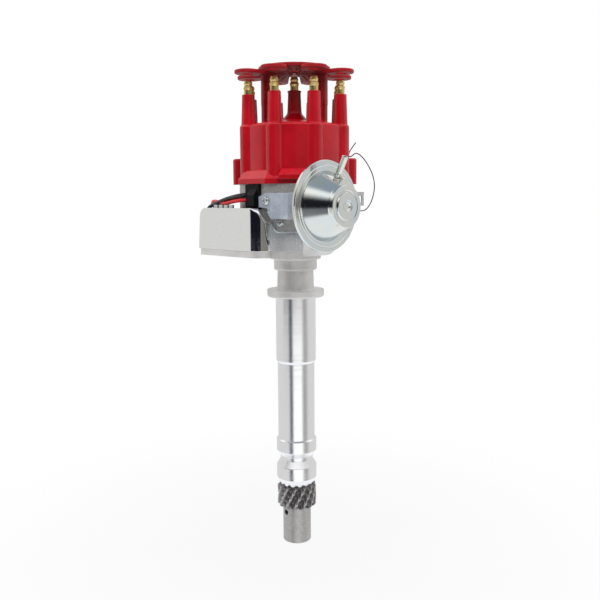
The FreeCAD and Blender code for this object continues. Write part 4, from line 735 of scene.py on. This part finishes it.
def cover_route():
    """The cover's outer edge in plan, from its left end round the nose to the wing's end, with its facing."""
    left = (COVER_LEFT + LEFT_CORNER, COVER_FRONT + LEFT_CORNER)
    nose = (NOSE_X, COVER_FRONT + NOSE_RADIUS)
    route = [((COVER_LEFT, COVER_BACK), 180), ((COVER_LEFT, left[1]), 180)]
    route += arc(left, LEFT_CORNER, LEFT_TURNS)
    route += [((x, COVER_FRONT), 270) for x in FRONT_STOPS]
    route += [stop for stop in arc(nose, NOSE_RADIUS, NOSE_TURNS) if math.hypot(*stop[0]) > WING_RADIUS]
    x, y = route[-1][0]
    start = math.degrees(math.atan2(y, x)) + WING_GAP
    turns = [start + (wing_end() - start) * part / WING_STOPS for part in range(WING_STOPS + 1)]
    return route + arc((0, 0), WING_RADIUS, turns)


def cover_section(place, turn):
    """The sheet's section at one stop of the route: outer side, rolled edge and inner side."""
    x, y = place
    sweep = step(x, *WING_SWEEP)
    swell = step(x, *NOSE_SWELL)
    top = COVER_TOP + (COVER_LOW_TOP - COVER_TOP) * sweep
    roll = ROLL_EDGE + ROLL_NOSE * swell * (1 - sweep) + ROLL_WING * sweep
    depth = ROLL_EDGE + ROLL_DEPTH * swell
    shoulder = top - roll
    rows = [(0.0, COVER_BOTTOM + (shoulder - COVER_BOTTOM) * share) for share in WALL_SHARES]
    for part in range(1, ROLL_STEPS + 1):
        angle = math.pi / 2 * part / ROLL_STEPS
        rows.append((depth * (1 - math.cos(angle)), shoulder + roll * math.sin(angle)))
    rows += [(max(depth, COVER_SHEET) + LIP_STEP, top - LIP_DROP), (COVER_SHEET, shoulder - SHOULDER_DROP),
             (COVER_SHEET, COVER_BOTTOM)]
    out = Vector((math.cos(math.radians(turn)), math.sin(math.radians(turn))))
    near_end = 1 - step(x, COVER_LEFT + LEAN_START, COVER_LEFT + LEAN_END)
    corners = []
    for inward, height in rows:
        over = max(0.0, height - (COVER_TOP - COVER_END_CORNER))
        lean = COVER_DRAFT * (height - COVER_BOTTOM) / (COVER_TOP - COVER_BOTTOM)
        lean += COVER_END_CORNER - math.sqrt(max(0.0, COVER_END_CORNER ** 2 - over ** 2))
        corners.append(Vector((x - out.x * inward + lean * near_end, y - out.y * inward, height)) * MM)
    return corners


def foot_arc(start, end):
    """Points round the bowl's foot between two azimuths, in plan."""
    turns = [start + (end - start) * part / FOOT_STOPS for part in range(FOOT_STOPS + 1)]
    return [place for place, turn in arc((0, 0), FOOT_RADIUS, turns)]


class DISTRIBUTOR_OT_module_cover(bpy.types.Operator):
    """Form the chromed cover with its rolled edge, and the base plate's wing beside the nose"""
    bl_idname = "distributor.module_cover"
    bl_label = "Module cover"

    def execute(self, context):
        route = cover_route()
        wall = swept("module_cover_wall", [cover_section(*stop) for stop in route])
        inner = [(x - FLOOR_INSET * math.cos(math.radians(turn)),
                  y - FLOOR_INSET * math.sin(math.radians(turn))) for (x, y), turn in route]
        floor = slab("module_cover_floor", inner + foot_arc(wing_end(), FLOOR_END), COVER_BOTTOM,
                     COVER_BOTTOM + COVER_FLOOR)
        edge = [(x * WING_INSET, y * WING_INSET) for (x, y), turn in route if x > 0 and turn < 0]
        wing = slab("base_wing", edge + foot_arc(wing_end(), WING_FOOT_END), BASE_BOTTOM, COVER_BOTTOM)
        for obj, slot in ((wall, "chrome_plate"), (floor, "chrome_plate"), (wing, "cast_aluminium")):
            dress(obj, slot)
            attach(obj, "body")
        for obj in (wall, floor):
            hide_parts("module_cover")
        for polygon in wall.data.polygons:
            polygon.use_smooth = len(polygon.vertices) == 4
        wall.data.set_sharp_from_angle(angle=math.radians(COVER_CREASE))
        return {"FINISHED"}


# The canister's shells: how near corners merge, in metres, then how far the rim moves out and between which
# reaches, in millimetres

MERGE_REACH = 0.0000002
RIM_SHIFT = 1.7
RIM_REACH = {"can_front_shell": (24.9, 27.0), "can_back_shell": (12.0, 26.0)}


class DISTRIBUTOR_OT_canister(bpy.types.Operator):
    """Form the canister's two pressed shells with their rolled rim a little further out"""
    bl_idname = "distributor.canister"
    bl_label = "Canister shells"

    def execute(self, context):
        for name, (near, far) in RIM_REACH.items():
            mesh = NODES[name].data.copy()
            mesh.transform(NODES[name].matrix_world)
            drawn = [corner.vector.copy() for corner in mesh.corner_normals]
            shell = bmesh.new()
            shell.from_mesh(mesh)
            bmesh.ops.remove_doubles(shell, verts=shell.verts, dist=MERGE_REACH)
            shell.to_mesh(mesh)
            shell.free()
            low, high = node_box(name)
            centre = (low + high) / 2
            for vertex in mesh.vertices:
                reach = math.hypot(vertex.co.y - centre.y, vertex.co.z - centre.z) / MM
                vertex.co.x += RIM_SHIFT * MM * step(reach, near, far)
            mesh.normals_split_custom_set(drawn)
            obj = bpy.data.objects.new(f"{name}_pressed", mesh)
            bpy.context.scene.collection.objects.link(obj)
            dress(obj, "zinc_steel")
            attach(obj, "body")
            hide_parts(name)
        return {"FINISHED"}


def row_tree():
    """Copies of a piece in a straight row."""
    kinds = {"Geometry": "Geometry", "Count": "Int", "Pitch": "Float", "Finish": "Material"}
    form = Form("row_of_pieces", kinds)
    offset = form.node("ShaderNodeCombineXYZ", None, {"X": form.size("Pitch")})
    line = form.node("GeometryNodeMeshLine", {"mode": "OFFSET"},
                     {"Count": form.size("Count"), "Offset": offset})
    copies = form.node("GeometryNodeInstanceOnPoints", None,
                       {"Points": line, "Instance": form.size("Geometry")})
    form.close(copies)
    return form.tree


# The module's blades, in millimetres

BLADE_COUNT = 4
BLADE_PITCH = 6.0
BLADE_FIRST = -36.5
BLADE_ROW = -49.4
BLADE_WIDTH = 4.4
BLADE_SHEET = 1.4
BLADE_BOTTOM = 64.1
BLADE_TOP = 72.6


class DISTRIBUTOR_OT_module_blades(bpy.types.Operator):
    """Stand the tinned terminals in a row on the ignition module"""
    bl_idname = "distributor.module_blades"
    bl_label = "Module terminals"

    def execute(self, context):
        left, right = BLADE_FIRST - BLADE_WIDTH / 2, BLADE_FIRST + BLADE_WIDTH / 2
        front, back = BLADE_ROW - BLADE_SHEET / 2, BLADE_ROW + BLADE_SHEET / 2
        outline = [(left, front), (right, front), (right, back), (left, back)]
        blade = slab("module_blades", outline, BLADE_BOTTOM, BLADE_TOP)
        sizes = {"Count": BLADE_COUNT, "Pitch": BLADE_PITCH * MM}
        shaped(blade, row_tree(), sizes, "body", "tinned_blade")
        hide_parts("module_terminals")
        return {"FINISHED"}


class DISTRIBUTOR_OT_leads(bpy.types.Operator):
    """Route the three leads from the grommet to the ignition module"""
    bl_idname = "distributor.leads"
    bl_label = "Leads"

    def execute(self, context):
        diameter = context.scene.distributor_sizes.lead_diameter
        for name, (slot, run, route) in LEADS.items():
            points = [Vector(point) * MM for point in route]
            obj = tube(f"{name}_insulation", points, diameter, slot, "body", name)
        return {"FINISHED"}


class DISTRIBUTOR_OT_spring_wire(bpy.types.Operator):
    """Bend the thin dark spring wire at the bowl's side"""
    bl_idname = "distributor.spring_wire"
    bl_label = "Spring wire"

    def execute(self, context):
        points = [polar(*stop) for stop in SPRING_WIRE]
        diameter = context.scene.distributor_sizes.wire_diameter
        tube("spring_wire_bent", points, diameter, "spring_steel", "body", "spring_wire")
        return {"FINISHED"}


class DISTRIBUTOR_OT_frame_finishes(bpy.types.Operator):
    """Give every CAD part its finish"""
    bl_idname = "distributor.frame_finishes"
    bl_label = "Frame finishes"

    def execute(self, context):
        for name, obj in NODES.items():
            dress(obj, "bracket_zinc" if name == "vacuum_bracket" else SLOTS[name])
        return {"FINISHED"}


# Stage, in metres and degrees

CAMERA_PLACE = Vector((0.42619, -0.42134, 0.07704))
CAMERA_FORWARD = Vector((-0.7008, 0.7008, -0.1328))
CAMERA_ROLL = -0.33
VIEW_AZIMUTH = -44.67
WORLD_LIGHT = (0.36, 0.36, 0.37)
FLOOR_REACH = 4.0
FLOOR_WHITE = 0.92
SHADOW_END = (0.05, 0.35)


def toward(azimuth, elevation):
    """Unit direction, its azimuth counted from the camera's side, positive to the right."""
    angle, rise = math.radians(VIEW_AZIMUTH + azimuth), math.radians(elevation)
    return Vector((math.cos(angle) * math.cos(rise), math.sin(angle) * math.cos(rise), math.sin(rise)))


def softbox(name, azimuth, elevation, distance, size, power):
    """A rectangular lamp that looks at the middle of the object."""
    lamp = bpy.data.lights.new(name, "AREA")
    lamp.shape = "RECTANGLE"
    lamp.size, lamp.size_y = size
    lamp.energy = power
    obj = bpy.data.objects.new(name, lamp)
    bpy.context.scene.collection.objects.link(obj)
    out = toward(azimuth, elevation)
    obj.location = out * distance
    obj.rotation_mode = "QUATERNION"
    obj.rotation_quaternion = out.to_track_quat("Z", "Y")
    obj.visible_glossy = False


def band(value, low, high, soft):
    """1 between two limits, with soft edges."""
    return value.smooth(low - soft, low + soft) * value.smooth(high + soft, high - soft)


def room(shader):
    """What polished metal sees: white above and below, and a dark studio behind the camera."""
    direction = shader.node("ShaderNodeTexCoord", out="Generated")
    ahead, right = toward(0, 0), toward(90, 0)
    sides = [shader.node("ShaderNodeVectorMath", {"operation": "DOT_PRODUCT"},
                         {0: direction, 1: axis}, "Value") for axis in (right, ahead)]
    azimuth = shader.maths("ARCTAN2", *sides) * math.degrees(1)
    height = shader.axis(direction, "Z")
    level = height.smooth(-0.13, -0.08) * height.smooth(0.64, 0.36)
    low = height.smooth(-0.06, -0.22)
    dark = level * band(azimuth, -76, 6, 5)
    brown = level * band(azimuth, 6, 62, 6)
    stripe = band(azimuth, -40, -21, 4) * height.smooth(-0.06, -0.10) * height.smooth(-0.62, -0.46)
    grey = low * band(azimuth, 40, 72, 9) * height.smooth(-0.52, -0.38)
    glow = low * band(azimuth, -18, 40, 5)
    tone = shader.mix(glow, (0.74, 0.74, 0.74), (1.25, 1.25, 1.25))
    tone = shader.mix(height.smooth(-0.38, -0.52), tone, (1.02, 1.04, 1.07))
    tone = shader.mix(height.smooth(0.55, 0.70), tone, (1.2, 1.2, 1.2))
    tone = shader.mix(height.smooth(0.78, 0.92), tone, (0.34, 0.39, 0.46))
    tone = shader.mix(grey * 0.75, tone, (0.30, 0.295, 0.28))
    tone = shader.mix(stripe * 0.9, tone, (0.06, 0.07, 0.11))
    tone = shader.mix(brown * 0.85, tone, (0.12, 0.11, 0.09))
    return shader.mix(dark, tone, (0.008, 0.008, 0.014))


def background(shader):
    """World light: plain for diffuse rays, the room for reflections, white for the camera."""
    seen, glossy, through = [shader.node("ShaderNodeLightPath", out=f"Is {kind} Ray")
                             for kind in ("Camera", "Glossy", "Transmission")]
    lit = shader.mix(shader.maths("MAXIMUM", glossy, through), WORLD_LIGHT, room(shader))
    return shader.mix(seen, lit, (1.0, 1.0, 1.0))


def pale(shader):
    """Floor: white to the camera, under the object's own soft shadow, which ends with the distance."""
    seen = shader.node("ShaderNodeLightPath", out="Is Camera Ray")
    away = shader.reach(shader.place()).smooth(*SHADOW_END)
    matt = shader.node("ShaderNodeBsdfDiffuse", None, {"Color": (0.35, 0.35, 0.35, 1.0)})
    glow = shader.node("ShaderNodeEmission", None, {"Color": (1.0, 1.0, 1.0, 1.0), "Strength": 1.0})
    white = FLOOR_WHITE + away * (1 - FLOOR_WHITE)
    return shader.node("ShaderNodeMixShader", None, {0: seen * white, 1: matt, 2: glow})


class DISTRIBUTOR_OT_stage(bpy.types.Operator):
    """Set up the camera, the soft lamps, the white room and the pale floor"""
    bl_idname = "distributor.stage"
    bl_label = "Stage"

    def execute(self, context):
        scene = context.scene
        scene.view_settings.view_transform = "Standard"
        camera = bpy.data.cameras.new("camera")
        camera.lens = scene.distributor_sizes.camera_lens
        camera.sensor_width = 36.0
        camera.clip_start = 0.01
        seat = bpy.data.objects.new("camera", camera)
        scene.collection.objects.link(seat)
        seat.location = CAMERA_PLACE
        seat.rotation_mode = "QUATERNION"
        roll = Matrix.Rotation(math.radians(-CAMERA_ROLL), 3, CAMERA_FORWARD.normalized()).to_quaternion()
        seat.rotation_quaternion = roll @ (-CAMERA_FORWARD).to_track_quat("Z", "Y")
        scene.camera = seat
        world = bpy.data.worlds.new("studio")
        world.use_nodes = True
        scene.world = world
        shader = Shader(world.node_tree)
        light = shader.node("ShaderNodeBackground", None, {"Color": background(shader)})
        shader.node("ShaderNodeOutputWorld", None, {"Surface": light})
        softbox("key_softbox", 14, 44, 1.4, (0.7, 0.7), 9.0)
        softbox("left_softbox", -70, 34, 1.3, (0.7, 0.8), 4.5)
        softbox("top_softbox", 0, 88, 1.3, (0.9, 0.9), 7.0)
        softbox("right_softbox", 95, 34, 1.4, (0.6, 0.8), 4.0)
        mesh = bpy.data.meshes.new("floor")
        square = ((-1, -1), (1, -1), (1, 1), (-1, 1))
        corners = [(x * FLOOR_REACH, y * FLOOR_REACH, CAD_BOX[0].z) for x, y in square]
        mesh.from_pydata(corners, [], [(0, 1, 2, 3)])
        floor = bpy.data.objects.new("floor", mesh)
        scene.collection.objects.link(floor)
        floor.data.materials.append(finish("pale_floor", pale))
        floor.visible_glossy = False
        return {"FINISHED"}


class DISTRIBUTOR_PT_pieces(bpy.types.Panel):
    """Lists the pieces and the stage"""
    bl_label = "Distributor"
    bl_space_type = "VIEW_3D"
    bl_region_type = "UI"
    bl_category = "Distributor"

    def draw(self, context):
        for operator in MAKERS:
            self.layout.operator(operator.bl_idname)
        for group in (context.scene.distributor_sizes, context.scene.distributor_colours):
            for name in group.__annotations__:
                self.layout.prop(group, name)


MAKERS = (DISTRIBUTOR_OT_stage, DISTRIBUTOR_OT_canister, DISTRIBUTOR_OT_module_cover,
          DISTRIBUTOR_OT_module_blades, DISTRIBUTOR_OT_retainer_web, DISTRIBUTOR_OT_leads,
          DISTRIBUTOR_OT_spring_wire, DISTRIBUTOR_OT_frame_finishes)
CLASSES = (DistributorColours, DistributorSizes, *MAKERS, DISTRIBUTOR_PT_pieces)


def register():
    for kind in CLASSES:
        bpy.utils.register_class(kind)
    bpy.types.Scene.distributor_colours = PointerProperty(type=DistributorColours)
    bpy.types.Scene.distributor_sizes = PointerProperty(type=DistributorSizes)


def unregister():
    del bpy.types.Scene.distributor_sizes
    del bpy.types.Scene.distributor_colours
    for kind in reversed(CLASSES):
        bpy.utils.unregister_class(kind)


def main():
    """Makes the whole scene."""
    register()
    for operator in MAKERS:
        group, name = operator.bl_idname.split(".")
        getattr(getattr(bpy.ops, group), name)()


if __name__ == "__main__":
    main()
